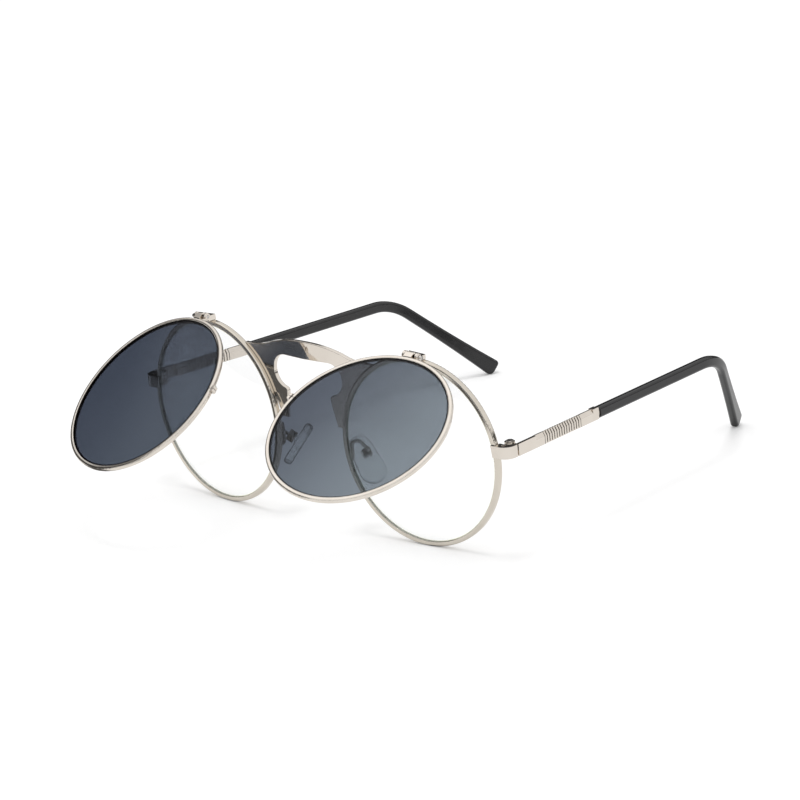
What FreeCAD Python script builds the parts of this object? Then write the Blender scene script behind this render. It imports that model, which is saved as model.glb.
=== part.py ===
"""Flip-up sunglasses: round wire front with clear lenses, tinted lenses on top hinges, folding temples.

Frame: +X to the wearer's left, +Y towards the ears, +Z up, origin on the table under the middle of
the glasses. They stand open on the lower edges of the rims and on the ends of the temple tips.
Lengths are in millimetres and angles in degrees.
"""
import FreeCAD, Part
import math
import os
import types

import Sketcher

Vector = FreeCAD.Vector
Rotation = FreeCAD.Rotation
Placement = FreeCAD.Placement

X_AXIS = Vector(1, 0, 0)
Y_AXIS = Vector(0, 1, 0)
Z_AXIS = Vector(0, 0, 1)
ORIGIN = Vector(0, 0, 0)

# The driving dimensions, one group for each sub-assembly.
DIMENSIONS = {
    # Front: two rims that wrap round the face, held apart by the bridge
    "nose_width": 25.0,
    "face_wrap_angle": 5.0,
    "origin_setback": 36.41,
    "rim_radius": 25.0,
    "rim_width": 1.3,
    "rim_depth": 1.75,
    "rim_round": 0.45,
    "rim_split": 0.12,
    "groove_width": 0.9,
    "groove_depth": 0.45,
    "lens_thickness": 1.5,
    "lens_face_radius": 260.0,
    "seat_gap": 0.03,
    "cut_overrun": 1.0,
    # Flip lenses: thinner rims that swing up on a hinge above each main rim
    "flip_inset": 0.33,
    "flip_width": 1.1,
    "flip_depth": 1.4,
    "tint_thickness": 1.0,
    "flip_forward": 2.41,
    "flip_axis_forward": 1.7,
    "flip_axis_above": 1.7,
    "flip_lean_angle": 4.69,
    "flip_rest_angle_left": 61.34,
    "flip_rest_angle_right": 52.02,
    "flip_knuckle_radius": 1.1,
    "flip_hinge_shift": 1.2,
    "flip_base_knuckle": 1.2,
    "flip_leaf_knuckle": 2.5,
    "flip_knuckle_gap": 0.15,
    "flip_knuckle_bevel": 0.3,
    "flip_saddle_depth": 1.1,
    "flip_saddle_height": 1.25,
    "flip_foot_depth": 1.2,
    "flip_pin_radius": 0.4,
    "flip_pin_head_radius": 0.6,
    "flip_pin_head": 0.9,
    "running_gap": 0.05,
    # Rim locks: split blocks that a small screw closes round each lens
    "lock_width": 1.7,
    "lock_depth": 1.9,
    "lock_height": 1.0,
    "lock_screw_radius": 0.4,
    "lock_screw_head_radius": 0.62,
    "lock_screw_head": 0.4,
    "lock_pocket": 0.75,
    "lock_head_gap": 0.08,
    "flip_lock_width": 0.8,
    "flip_lock_height": 0.8,
    "flip_lock_angle": 14.0,
    "flip_screw_radius": 0.25,
    "flip_screw_head": 0.3,
    "screw_slot_width": 0.3,
    "screw_slot_depth": 0.25,
    # Bridge: a flat plate with a keyhole over the nose, folded a little at the middle
    "bridge_thickness": 1.2,
    "bridge_forward": 2.6,
    "bridge_fold_angle": 4.0,
    "bridge_fold_radius": 26.0,
    "bridge_crown_rise": 0.2,
    "bridge_arch_drop": 4.85,
    "bridge_shoulder_outside": 0.1,
    "bridge_crown_drop": 1.8,
    "bridge_valley_outside": 5.7,
    "bridge_valley_drop": 3.35,
    "bridge_wing_outside": 12.0,
    "bridge_wing_drop": 3.6,
    "bridge_lobe_radius": 4.6,
    "bridge_hook_inset": 4.55,
    "bridge_hook_radius": 1.0,
    "bridge_foot_inset": 3.4,
    "bridge_foot_height": 2.4,
    "bridge_foot_lean_angle": 6.0,
    "bridge_edge_round": 0.2,
    # End pieces: straps that turn from the rim to the temple hinge
    "end_piece_overhang": 4.05,
    "end_piece_front": 0.78,
    "end_piece_skin": 0.5,
    "end_piece_rear": 4.75,
    "end_piece_corner": 2.8,
    "end_piece_strap": 1.7,
    "lock_screw_outside": 1.45,
    "temple_height_above_centre": 3.63,
    # Temple hinges
    "hinge_inset": 1.7,
    "hinge_setback": 5.6,
    "hinge_radius": 1.4,
    "hinge_knuckle": 0.75,
    "hinge_middle": 1.8,
    "hinge_knuckle_gap": 0.1,
    "hinge_screw_radius": 0.55,
    "hinge_screw_head_radius": 1.0,
    "hinge_screw_head": 0.3,
    "hinge_web": 1.2,
    "hinge_web_start": 0.2,
    "hinge_seam": 0.2,
    # Temples: metal bars with a ribbed stretch, and plastic tips on a wire core
    "temple_toe_angle": 3.57,
    "temple_fall_angle_left": 0.54,
    "temple_fall_angle_right": 1.61,
    "bar_height": 3.2,
    "bar_bevel": 1.1,
    "bar_flat_length": 7.4,
    "bar_flat_thickness": 0.95,
    "bar_lead_length": 3.4,
    "bar_rib_spacing": 1.02,
    "bar_rib_length": 0.66,
    "bar_rib_depth": 0.22,
    "bar_tail_length": 7.54,
    "bar_collar_length": 2.2,
    "bar_collar_radius": 2.4,
    "core_radius": 0.7,
    "core_end_gap": 4.0,
    "tip_height": 3.1,
    "tip_thickness": 2.3,
    "tip_corner": 0.85,
    "tip_bend_at": 87.3,
    "tip_bend_radius": 16.0,
    "tip_bend_angle_left": 51.9,
    "tip_bend_angle_right": 44.3,
    "tip_lean_angle": 25.2,
    "tip_paddle_height": 4.7,
    "tip_upper_round": 1.05,
    "tip_lower_round": 1.7,
    # Nose pads on bent wire arms
    "pad_arm_radius": 0.5,
    "pad_length": 13.8,
    "pad_top_radius": 3.1,
    "pad_bottom_radius": 3.6,
    "pad_thickness": 2.4,
    "pad_edge_round": 1.0,
    "pad_outside": 0.5,
    "pad_setback": 4.85,
    "pad_below_centre": 7.5,
    "pad_plan_angle": 32.7,
    "pad_splay_angle": 35.6,
    "pad_tilt_angle": 15.4,
    "pad_lug_above": 1.0,
    "pad_lug_thickness": 1.0,
    "pad_lug_width": 1.7,
    "pad_lug_length": 1.7,
    "pad_box_wall": 0.4,
    "pad_box_side_gap": 0.2,
    "pad_box_width": 2.3,
    "pad_box_depth": 2.2,
    "pad_screw_radius": 0.35,
    "pad_arm_root_below": 5.7,
    "pad_arm_rise": 4.5,
    "pad_arm_crest": 0.5,
    "pad_arm_back": 1.0,
    "pad_arm_bend": 0.9,
}

# Shapes given as shares of the sizes that they follow
BAR_BEVEL_INSET_SHARE = 0.56
SIDE_SIGNS = {"left": 1, "right": -1}
BAR_RIB_COUNT = 15
PAD_ARM_CREST_SHARE = 0.45
PLATE_WALL_SHARE = 0.5

doc = FreeCAD.newDocument("flip_up_sunglasses")
sheet = doc.addObject("Spreadsheet::Sheet", "dims")
for row, (alias, number) in enumerate(DIMENSIONS.items(), start=1):
    sheet.set(f"A{row}", alias)
    sheet.set(f"B{row}", str(number))
    sheet.setAlias(f"B{row}", alias)
doc.recompute()

# Plain numbers of the sheet, for shapes that are worked out in code
D = types.SimpleNamespace(**{alias: float(sheet.get(alias)) for alias in DIMENSIONS})

NODES = {}


class Size:
    """A length or angle that knows its value and the sheet expression that gives it."""

    def __init__(self, value, text):
        self.value = value
        self.text = text

    def __add__(self, other):
        other = as_size(other)
        return Size(self.value + other.value, f"({self.text} + {other.text})")

    def __sub__(self, other):
        other = as_size(other)
        return Size(self.value - other.value, f"({self.text} - {other.text})")

    def __mul__(self, other):
        other = as_size(other)
        return Size(self.value * other.value, f"({self.text} * {other.text})")

    def __truediv__(self, other):
        other = as_size(other)
        return Size(self.value / other.value, f"({self.text} / {other.text})")

    def __neg__(self):
        return Size(-self.value, f"(0 - {self.text})")

    def root(self):
        """The square root of this size."""
        return Size(math.sqrt(self.value), f"sqrt({self.text})")


def as_size(number):
    """A plain number as a size, or the size itself."""
    if isinstance(number, Size):
        return number
    return Size(float(number), str(number))


ZERO = Size(0.0, "0")
S = types.SimpleNamespace(**{alias: Size(getattr(D, alias), f"dims.{alias}") for alias in DIMENSIONS})


def derive(alias, size):
    """Adds a size that follows from others."""
    setattr(S, alias, size)
    setattr(D, alias, size.value)


# Sizes that follow from the driving ones: places across the front go with the rims
nose_half = S.nose_width / 2
derive("lens_spacing", S.nose_width + S.rim_radius * 2)
derive("flip_radius", S.rim_radius - S.flip_inset)
rim_side = S.lens_spacing / 2 + S.rim_radius + S.rim_width / 2
derive("lock_screw_reach", rim_side + S.lock_screw_outside)
derive("end_piece_reach", rim_side + S.end_piece_overhang)
derive("hinge_reach", S.end_piece_reach - S.end_piece_strap - S.hinge_inset)
derive("bridge_crown", S.rim_radius + S.bridge_crown_rise)
derive("bridge_arch", S.bridge_crown - S.bridge_arch_drop)
derive("bridge_crown_reach", nose_half + S.bridge_shoulder_outside)
derive("bridge_valley_reach", nose_half + S.bridge_valley_outside)
derive("bridge_wing_reach", nose_half + S.bridge_wing_outside)
derive("bridge_lobe_reach", nose_half - S.bridge_lobe_radius)
derive("bridge_hook_reach", nose_half - S.bridge_hook_inset)
derive("bridge_foot_reach", nose_half - S.bridge_foot_inset)
derive("pad_reach", nose_half + S.pad_outside)
bar_half = S.bar_height / 2
derive("bar_collar_setback", (S.bar_collar_radius * S.bar_collar_radius - bar_half * bar_half).root())
derive("bar_collar_bulge", S.bar_collar_radius - S.bar_collar_setback)


def bind(item, prop, size):
    """Ties one property of an object to the sheet."""
    item.setExpression(prop, size.text)


def keep(node, item):
    """Names an object as a sub-part that gets its own file."""
    item.Label = node
    NODES[node] = item
    return item


def primitive(kind, name, sizes, placement=Placement()):
    """A Part primitive whose sizes are tied to the sheet."""
    item = doc.addObject(f"Part::{kind}", name)
    for prop, size in sizes.items():
        bind(item, prop, size)
    item.Placement = placement
    return item


def cylinder(name, radius, height, placement):
    """A round bar that runs from its placement along the placement's own +Z."""
    return primitive("Cylinder", name, {"Radius": radius, "Height": height}, placement)


def box(name, length, width, height, placement):
    """A block that runs from its placement along the placement's own +X, +Y and +Z."""
    return primitive("Box", name, {"Length": length, "Width": width, "Height": height}, placement)


def bead(name, radius, length, placement):
    """A hinge knuckle with bevelled ends that runs from its placement along the placement's own +X."""
    bevel = S.flip_knuckle_bevel
    points = [(ZERO, ZERO), (radius - bevel, ZERO), (radius, bevel), (radius, length - bevel),
              (radius - bevel, length), (ZERO, length)]
    body, _ = revolved(name, points, placement * Placement(ORIGIN, Rotation(Z_AXIS, -90)))
    return body


def cut(name, base, *tools):
    """The base with every tool taken away."""
    for number, tool in enumerate(tools, start=1):
        item = doc.addObject("Part::Cut", f"{name}_cut{number}")
        item.Base = base
        item.Tool = tool
        base = item
    return base


def fuse(name, *pieces):
    """Several solids joined into one."""
    item = doc.addObject("Part::MultiFuse", f"{name}_fuse")
    item.Shapes = list(pieces)
    item.Refine = True
    return item


def shaped(name, shape, placement=Placement()):
    """A feature for a shape that is worked out in code from the sheet's sizes."""
    item = doc.addObject("Part::Feature", name)
    item.Shape = shape
    item.Placement = placement
    return item


def origin_feature(body, role):
    """One of the body's own planes or axes."""
    return next(item for item in body.Origin.OriginFeatures if item.Role == role)


def profile(body, name, plane, points):
    """A closed sketch of straight lines whose corners are tied to the sheet."""
    sketch = body.newObject("Sketcher::SketchObject", name)
    sketch.AttachmentSupport = [(origin_feature(body, plane), "")]
    sketch.MapMode = "FlatFace"
    corners = [Vector(across.value, along.value, 0) for across, along in points]
    count = len(corners)
    for number, corner in enumerate(corners):
        sketch.addGeometry(Part.LineSegment(corner, corners[(number + 1) % count]))
    for number in range(count):
        sketch.addConstraint(Sketcher.Constraint("Coincident", number, 2, (number + 1) % count, 1))
    for number, (across, along) in enumerate(points):
        for kind, axis, size in (("DistanceX", -2, across), ("DistanceY", -1, along)):
            if size is ZERO:
                sketch.addConstraint(Sketcher.Constraint("PointOnObject", number, 1, axis))
                continue
            place = sketch.addConstraint(Sketcher.Constraint(kind, -1, 1, number, 1, size.value))
            sketch.setExpression(f"Constraints[{place}]", size.text)
    return sketch


def revolved(name, points, placement):
    """A body turned about its own Y axis from a section of radius against axial place."""
    body = doc.addObject("PartDesign::Body", name)
    sketch = profile(body, f"{name}_section", "XY_Plane", points)
    turn = body.newObject("PartDesign::Revolution", f"{name}_turn")
    turn.Profile = sketch
    turn.ReferenceAxis = (origin_feature(body, "Y_Axis"), [""])
    turn.Angle = 360
    body.Placement = placement
    doc.recompute()
    return body, turn


def side_sign(side):
    """+1 on the wearer's left, -1 on the wearer's right."""
    return SIDE_SIGNS[side]


def sided(name, side):
    """A size that differs between the two sides."""
    return getattr(D, f"{name}_{side}")


rim_outer = D.rim_radius + D.rim_width / 2
lens_height = rim_outer


def front(across, back, above):
    """A point given from the middle between the lens centres, in the part's frame."""
    return Vector(across, back - D.origin_setback, above + lens_height)


def lens_frame(side):
    """The frame of one main rim: its own Y is the lens axis and points back."""
    sign = side_sign(side)
    return Placement(front(sign * D.lens_spacing / 2, 0, 0), Rotation(Z_AXIS, sign * D.face_wrap_angle))


def hinge_frame(side):
    """The frame of one flip hinge: its own X is the hinge axis and Z points away from the lens."""
    sign = side_sign(side)
    lean = math.radians(D.flip_lean_angle)
    reach = D.rim_radius + D.flip_axis_above
    pivot = Vector(sign * reach * math.sin(lean), -D.flip_axis_forward, reach * math.cos(lean))
    return lens_frame(side) * Placement(pivot, Rotation(Y_AXIS, sign * D.flip_lean_angle))


def flip_frame(side):
    """The hinge frame turned to the angle at which this flip lens rests."""
    return hinge_frame(side) * Placement(ORIGIN, Rotation(X_AXIS, -sided("flip_rest_angle", side)))


def flip_lens_frame(side):
    """The frame of one flip rim, as it rests: its own Y is the lens axis."""
    down = D.rim_radius + D.flip_axis_above
    back = D.flip_axis_forward - D.flip_forward
    upright = Rotation(Y_AXIS, -side_sign(side) * D.flip_lean_angle)
    return flip_frame(side) * Placement(Vector(0, back, -down), upright)


def temple_frame(side):
    """The frame of one open temple: its own Y runs along the bar, from the hinge axis."""
    sign = side_sign(side)
    base = front(sign * D.hinge_reach, D.hinge_setback, D.temple_height_above_centre)
    turn = Rotation(Z_AXIS, sign * D.temple_toe_angle) * Rotation(X_AXIS, -sided("temple_fall_angle", side))
    return Placement(base, turn)


def upright_frame(side):
    """The frame of the temple hinge: its own Z is the hinge axis."""
    sign = side_sign(side)
    return Placement(front(sign * D.hinge_reach, D.hinge_setback, D.temple_height_above_centre), Rotation())


def shifted(placement, across, back, above, turn=Rotation()):
    """A placement moved by some lengths within its own frame."""
    return placement * Placement(Vector(across, back, above), turn)


LAY_ALONG_X = Rotation(Y_AXIS, 90)
LAY_ALONG_Y = Rotation(X_AXIS, -90)


def envelope(name, radius, depth, placement):
    """A round block that stands for a whole rim, to shape what is brazed to its outside."""
    start = -(depth / 2 + S.cut_overrun)
    height = depth + S.cut_overrun * 2
    return cylinder(name, radius, height, shifted(placement, 0, start.value, 0, LAY_ALONG_Y))


def eyewire(name, radius, width, depth, placement):
    """A rim: a ring with a V groove inside for the lens and rounded edges outside."""
    inner = radius - width / 2
    outer = radius + width / 2
    groove = inner + S.groove_depth
    half = depth / 2
    mouth = S.groove_width / 2
    points = [(inner, -half), (outer, -half), (outer, half), (inner, half),
              (inner, mouth), (groove, ZERO), (inner, -mouth)]
    body, turn = revolved(name, points, placement)
    edges = []
    for number, edge in enumerate(turn.Shape.Edges, start=1):
        if hasattr(edge.Curve, "Radius") and abs(edge.Curve.Radius - outer.value) < D.seat_gap:
            edges.append(f"Edge{number}")
    rounding = body.newObject("PartDesign::Fillet", f"{name}_round")
    rounding.Base = (turn, edges)
    bind(rounding, "Radius", S.rim_round)
    return body


def lens(name, radius, width, thickness, placement):
    """A meniscus lens whose bevelled edge sits in the rim's groove."""
    edge = radius - width / 2 - S.seat_gap
    bevel = edge + S.groove_depth - S.seat_gap
    mouth = S.groove_width / 2 - S.seat_gap
    curve = S.lens_face_radius
    flank = (curve * curve - edge * edge).root()
    deep = thickness / 2 + curve - flank + S.cut_overrun
    points = [(ZERO, -deep), (edge, -deep), (edge, -mouth), (bevel, ZERO),
              (edge, mouth), (edge, deep), (ZERO, deep)]
    blank, _ = revolved(f"{name}_blank", points, placement)
    balls = []
    for face, offset in (("outer", flank - thickness / 2), ("inner", flank + thickness / 2)):
        centre = shifted(placement, 0, offset.value, 0)
        balls.append(primitive("Sphere", f"{name}_{face}", {"Radius": curve}, centre))
    convex = doc.addObject("Part::MultiCommon", f"{name}_convex")
    convex.Shapes = [blank, balls[0]]
    return cut(name, convex, balls[1])


def slot_cutter(name, radius, placement):
    """A bar that cuts the driver slot across a screw head whose top is at the placement."""
    length = radius * 2 + S.cut_overrun
    width = S.screw_slot_width
    depth = S.screw_slot_depth + S.cut_overrun
    corner = shifted(placement, -length.value / 2, -width.value / 2, -D.screw_slot_depth)
    return box(name, length, width, depth, corner)


def screw(name, head_radius, head, radius, length, placement):
    """A slotted screw: the placement is under its head, the shank runs along the placement's own -Z."""
    shank = cylinder(f"{name}_shank", radius, length, shifted(placement, 0, 0, -length.value))
    cap = cylinder(f"{name}_head", head_radius, head, placement)
    whole = fuse(name, shank, cap)
    return cut(name, whole, slot_cutter(f"{name}_slot", head_radius, shifted(placement, 0, 0, head.value)))


def build_rim(side):
    """The main rim with its split, the clear lens, the lower lock block and the lock screw."""
    sign = side_sign(side)
    place = lens_frame(side)
    ring = eyewire(f"rim_ring_{side}", S.rim_radius, S.rim_width, S.rim_depth, place)
    lock_foot = D.temple_height_above_centre - D.bar_height / 2
    lock_top = lock_foot + D.lock_height
    reach = S.rim_width + S.cut_overrun * 2
    middle = sign * D.rim_radius - reach.value / 2
    slit_place = shifted(place, middle, -D.rim_depth, lock_top)
    slit = box(f"rim_slit_{side}", reach, S.rim_depth * 2, S.rim_split, slit_place)
    keep(f"rim_{side}", cut(f"rim_{side}", ring, slit))
    keep(f"clear_lens_{side}", lens(f"clear_lens_{side}", S.rim_radius, S.rim_width, S.lens_thickness, place))

    screw_place = Placement(front(sign * D.lock_screw_reach, lock_middle(), 0), Rotation())
    block_wide = S.rim_width / 2 + S.lock_screw_outside + S.lock_width / 2
    inner = D.lens_spacing / 2 + D.rim_radius
    corner = front(inner if sign > 0 else -inner - block_wide.value, lock_front(), lock_foot)
    block = box(f"lock_block_{side}", block_wide, S.lock_depth, S.lock_height, Placement(corner, Rotation()))
    bore_start = shifted(screw_place, 0, 0, -D.cut_overrun)
    bore = cylinder(f"lock_bore_{side}", S.lock_screw_radius + S.seat_gap, S.bar_height * 2, bore_start)
    seat = envelope(f"lock_seat_{side}", S.rim_radius + S.rim_width / 2 + S.seat_gap, S.rim_depth, place)
    keep(f"rim_lock_{side}", cut(f"rim_lock_{side}", block, bore, seat))

    top = D.temple_height_above_centre + D.bar_height / 2 - D.lock_pocket
    length = S.bar_height - S.lock_pocket
    fixing = screw(f"rim_screw_{side}", S.lock_screw_head_radius, S.lock_screw_head, S.lock_screw_radius,
                   length, shifted(screw_place, 0, 0, top))
    keep(f"rim_screw_{side}", fixing)


def lock_front():
    """How far behind the lens centres the rim lock starts, behind the end piece's skin."""
    return D.end_piece_front + D.end_piece_skin + D.rim_split


def lock_middle():
    """How far behind the lens centres the lock screw stands."""
    return lock_front() + D.lock_depth / 2


def rim_room(name, side):
    """The space that the rim and its lens take up behind the end piece's skin."""
    ahead = S.rim_depth / 2 + S.seat_gap
    start = shifted(lens_frame(side), 0, -ahead.value, 0, LAY_ALONG_Y)
    height = S.rim_depth + S.cut_overrun
    return cylinder(name, S.rim_radius + S.rim_width / 2 + S.seat_gap, height, start)


def build_flip(side):
    """The flip rim with its split, the tinted lens, the lock blocks and their screw."""
    sign = side_sign(side)
    place = flip_lens_frame(side)
    ring = eyewire(f"flip_ring_{side}", S.flip_radius, S.flip_width, S.flip_depth, place)
    lock_place = place * Placement(ORIGIN, Rotation(Y_AXIS, sign * D.flip_lock_angle))
    reach = S.flip_width + S.cut_overrun * 2
    slit_place = shifted(lock_place, -sign * D.flip_radius - reach.value / 2, -D.flip_depth, -D.rim_split / 2)
    slit = box(f"flip_slit_{side}", reach, S.flip_depth * 2, S.rim_split, slit_place)
    keep(f"flip_rim_{side}", cut(f"flip_rim_{side}", ring, slit))
    tinted = lens(f"tinted_lens_{side}", S.flip_radius, S.flip_width, S.tint_thickness, place)
    keep(f"tinted_lens_{side}", tinted)

    outer = S.flip_radius + S.flip_width / 2 + S.seat_gap
    middle = -sign * (outer.value + D.flip_lock_width / 2)
    left_edge = middle - D.flip_lock_width / 2 - D.seat_gap
    tall = S.flip_lock_height * 2 + S.rim_split
    whole_place = shifted(lock_place, left_edge, -D.flip_depth / 2, -tall.value / 2)
    block = box(f"flip_lock_block_{side}", S.flip_lock_width + S.seat_gap * 2, S.flip_depth, tall,
                whole_place)
    gap_place = shifted(lock_place, middle - D.flip_lock_width, -D.flip_depth, -D.rim_split / 2)
    gap = box(f"flip_lock_gap_{side}", S.flip_lock_width * 2, S.flip_depth * 2, S.rim_split, gap_place)
    seat = envelope(f"flip_lock_seat_{side}", outer, S.flip_depth, place)
    axis_place = shifted(lock_place, middle, 0, tall.value / 2)
    bore = cylinder(f"flip_lock_bore_{side}", S.flip_screw_radius + S.seat_gap, tall + S.cut_overrun * 2,
                    shifted(axis_place, 0, 0, -tall.value - D.cut_overrun))
    keep(f"flip_lock_{side}", cut(f"flip_lock_{side}", block, gap, seat, bore))
    head_radius = S.flip_lock_width / 2
    fixing = screw(f"flip_screw_{side}", head_radius, S.flip_screw_head, S.flip_screw_radius, tall,
                   axis_place)
    keep(f"flip_screw_{side}", fixing)


def build_flip_hinge(side):
    """The saddle with two knuckles on the main rim, the leaf on the flip rim, and the hinge pin."""
    sign = side_sign(side)
    place = shifted(hinge_frame(side), -sign * D.flip_hinge_shift, 0, 0)
    turned = shifted(flip_frame(side), -sign * D.flip_hinge_shift, 0, 0)
    barrel = S.flip_base_knuckle * 2 + S.flip_leaf_knuckle + S.flip_knuckle_gap * 2
    half = barrel.value / 2
    rim_top = D.flip_axis_above - D.rim_width / 2
    saddle_start = D.flip_axis_forward + D.rim_depth / 2 - D.flip_saddle_depth

    pieces = []
    for number, start in enumerate((-half, half - D.flip_base_knuckle)):
        pieces.append(bead(f"base_knuckle{number}_{side}", S.flip_knuckle_radius, S.flip_base_knuckle,
                           shifted(place, start, 0, 0)))
        arm_depth = S.flip_axis_forward + S.rim_depth / 2
        arm_place = shifted(place, start, 0, -rim_top - D.rim_width / 2)
        pieces.append(box(f"base_arm{number}_{side}", S.flip_base_knuckle, arm_depth,
                          S.flip_saddle_height + S.rim_width / 2, arm_place))
    saddle_place = shifted(place, -half, saddle_start, -rim_top - D.rim_width / 2)
    pieces.append(box(f"base_saddle_{side}", barrel, S.flip_saddle_depth,
                      S.flip_saddle_height + S.rim_width / 2, saddle_place))
    pin_start = shifted(place, -half - D.cut_overrun, 0, 0, LAY_ALONG_X)
    base_bore = cylinder(f"base_bore_{side}", S.flip_pin_radius + S.seat_gap, barrel + S.cut_overrun * 2,
                         pin_start)
    rim_seat = envelope(f"base_seat_{side}", S.rim_radius + S.rim_width / 2 + S.seat_gap, S.rim_depth,
                        lens_frame(side))
    saddle = fuse(f"flip_base_{side}", *pieces)
    keep(f"flip_base_{side}", cut(f"flip_base_{side}", saddle, base_bore, rim_seat))

    leaf_start = -D.flip_leaf_knuckle / 2
    knuckle = bead(f"leaf_knuckle_{side}", S.flip_knuckle_radius, S.flip_leaf_knuckle,
                   shifted(turned, leaf_start, 0, 0))
    flip_drop = D.rim_radius + D.flip_axis_above - D.flip_radius - D.flip_width / 2
    foot_front = D.flip_axis_forward - D.flip_forward - D.flip_foot_depth / 2
    foot = box(f"leaf_foot_{side}", S.flip_leaf_knuckle, S.flip_foot_depth,
               S.rim_radius + S.flip_axis_above - S.flip_radius,
               shifted(turned, leaf_start, foot_front, -flip_drop - D.flip_width / 2))
    leaf_bore = cylinder(f"leaf_bore_{side}", S.flip_pin_radius + S.running_gap, barrel + S.cut_overrun * 2,
                         shifted(turned, -half - D.cut_overrun, 0, 0, LAY_ALONG_X))
    flip_seat = envelope(f"leaf_seat_{side}", S.flip_radius + S.flip_width / 2 + S.seat_gap, S.flip_depth,
                         flip_lens_frame(side))
    leaf = fuse(f"flip_leaf_{side}", knuckle, foot)
    keep(f"flip_leaf_{side}", cut(f"flip_leaf_{side}", leaf, leaf_bore, flip_seat))

    outward = shifted(place, sign * half, 0, 0, Rotation(Y_AXIS, sign * 90))
    pin = screw(f"flip_pin_{side}", S.flip_pin_head_radius, S.flip_pin_head, S.flip_pin_radius, barrel,
                outward)
    keep(f"flip_pin_{side}", pin)


def bridge_outline():
    """One half of the bridge, seen from the front, as a face in the X-Z plane."""
    def point(reach, height):
        return Vector(reach, 0, height)

    crown = D.bridge_crown
    crest = D.bridge_crown_reach
    crown_radius = (crest ** 2 + D.bridge_crown_drop ** 2) / (2 * D.bridge_crown_drop)
    halfway = crest / 2
    halfway_drop = crown_radius - math.sqrt(crown_radius ** 2 - halfway ** 2)
    shoulder = point(crest, crown - D.bridge_crown_drop)
    valley = point(D.bridge_valley_reach, crown - D.bridge_valley_drop)
    wing_end = point(D.bridge_wing_reach, crown - D.bridge_wing_drop)
    inside_rim = point(D.lens_spacing / 2, D.bridge_foot_height)
    foot = point(D.bridge_foot_reach, D.bridge_foot_height)
    lobe = point(D.bridge_lobe_reach, D.bridge_arch - D.bridge_lobe_radius)
    lobe_top = point(D.bridge_lobe_reach, D.bridge_arch)
    lobe_side = lobe + X_AXIS * D.bridge_lobe_radius
    # The hook is a round nose that meets the lobe and the inner edge smoothly
    hook_across = D.bridge_hook_reach + D.bridge_hook_radius
    apart = D.bridge_lobe_radius + D.bridge_hook_radius
    hook_up = lobe.z - math.sqrt(apart ** 2 - (hook_across - D.bridge_lobe_reach) ** 2)
    hook = point(hook_across, hook_up)
    lobe_low = lobe + (hook - lobe).normalize() * D.bridge_lobe_radius
    to_foot = foot - hook
    leave_angle = math.atan2(to_foot.z, to_foot.x) - math.acos(D.bridge_hook_radius / to_foot.Length)
    to_lobe = lobe - hook
    meet_angle = math.atan2(to_lobe.z, to_lobe.x) - 2 * math.pi

    def on_hook(angle):
        return hook + Vector(math.cos(angle), 0, math.sin(angle)) * D.bridge_hook_radius

    hook_side = on_hook(leave_angle)
    hook_nose = on_hook((leave_angle + meet_angle) / 2)

    edges = [
        Part.Arc(point(0, crown), point(halfway, crown - halfway_drop), shoulder).toShape(),
        Part.Arc(shoulder, valley, wing_end).toShape(),
        Part.LineSegment(wing_end, inside_rim).toShape(),
        Part.LineSegment(inside_rim, foot).toShape(),
        Part.LineSegment(foot, hook_side).toShape(),
        Part.Arc(hook_side, hook_nose, lobe_low).toShape(),
        Part.Arc(lobe_low, lobe_side, lobe_top).toShape(),
        Part.LineSegment(lobe_top, point(0, D.bridge_arch)).toShape(),
        Part.LineSegment(point(0, D.bridge_arch), point(0, crown)).toShape(),
    ]
    return Part.Face(Part.Wire(edges))


def bridge_band():
    """One half of the folded plate, seen from above, as a face in the X-Y plane."""
    fold = math.radians(D.bridge_fold_angle)
    thick = D.bridge_thickness
    far = D.lens_spacing / 2

    def strip(radius):
        turn = radius * math.sin(fold)
        middle = Vector(radius * math.sin(fold / 2), -radius * math.cos(fold / 2), 0)
        bend = Vector(turn, -radius * math.cos(fold), 0)
        end = bend + Vector(far - turn, (far - turn) * math.tan(fold), 0)
        return Vector(0, -radius, 0), middle, bend, end

    outer = strip(D.bridge_fold_radius)
    inner = strip(D.bridge_fold_radius - thick)
    edges = [
        Part.Arc(outer[0], outer[1], outer[2]).toShape(),
        Part.LineSegment(outer[2], outer[3]).toShape(),
        Part.LineSegment(outer[3], inner[3]).toShape(),
        Part.LineSegment(inner[3], inner[2]).toShape(),
        Part.Arc(inner[2], inner[1], inner[0]).toShape(),
        Part.LineSegment(inner[0], outer[0]).toShape(),
    ]
    return Part.Face(Part.Wire(edges))


def foot_cutter():
    """The wedge in front of one half of the plate, below its hook, that lets the foot fall back."""
    fold = math.radians(D.bridge_fold_angle)
    across = D.bridge_hook_reach + D.bridge_hook_radius - D.bridge_lobe_reach
    apart = D.bridge_lobe_radius + D.bridge_hook_radius
    lobe_up = D.bridge_arch - D.bridge_lobe_radius
    hook_foot = lobe_up - math.sqrt(apart ** 2 - across ** 2) - D.bridge_hook_radius
    wide = D.lens_spacing / 2
    block = Part.makeBox(wide, D.bridge_fold_radius, wide, Vector(0, -D.bridge_fold_radius, -wide))
    bend = Vector(D.bridge_fold_radius * math.sin(fold), -D.bridge_fold_radius * math.cos(fold), hook_foot)
    turn = Rotation(Z_AXIS, D.bridge_fold_angle) * Rotation(X_AXIS, D.bridge_foot_lean_angle)
    block.Placement = Placement(bend, turn)
    return block


def plate_edges(plate):
    """The edges between the flat sides of the plate and its outline."""
    chosen = []
    for edge in plate.Edges:
        middle = edge.valueAt((edge.FirstParameter + edge.LastParameter) / 2)
        facing = []
        for face in plate.ancestorsOfType(edge, Part.Face):
            facing.append(abs(face.normalAt(*face.Surface.parameter(middle)).y))
        if min(facing) < PLATE_WALL_SHARE < max(facing):
            chosen.append(edge)
    return chosen


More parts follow.
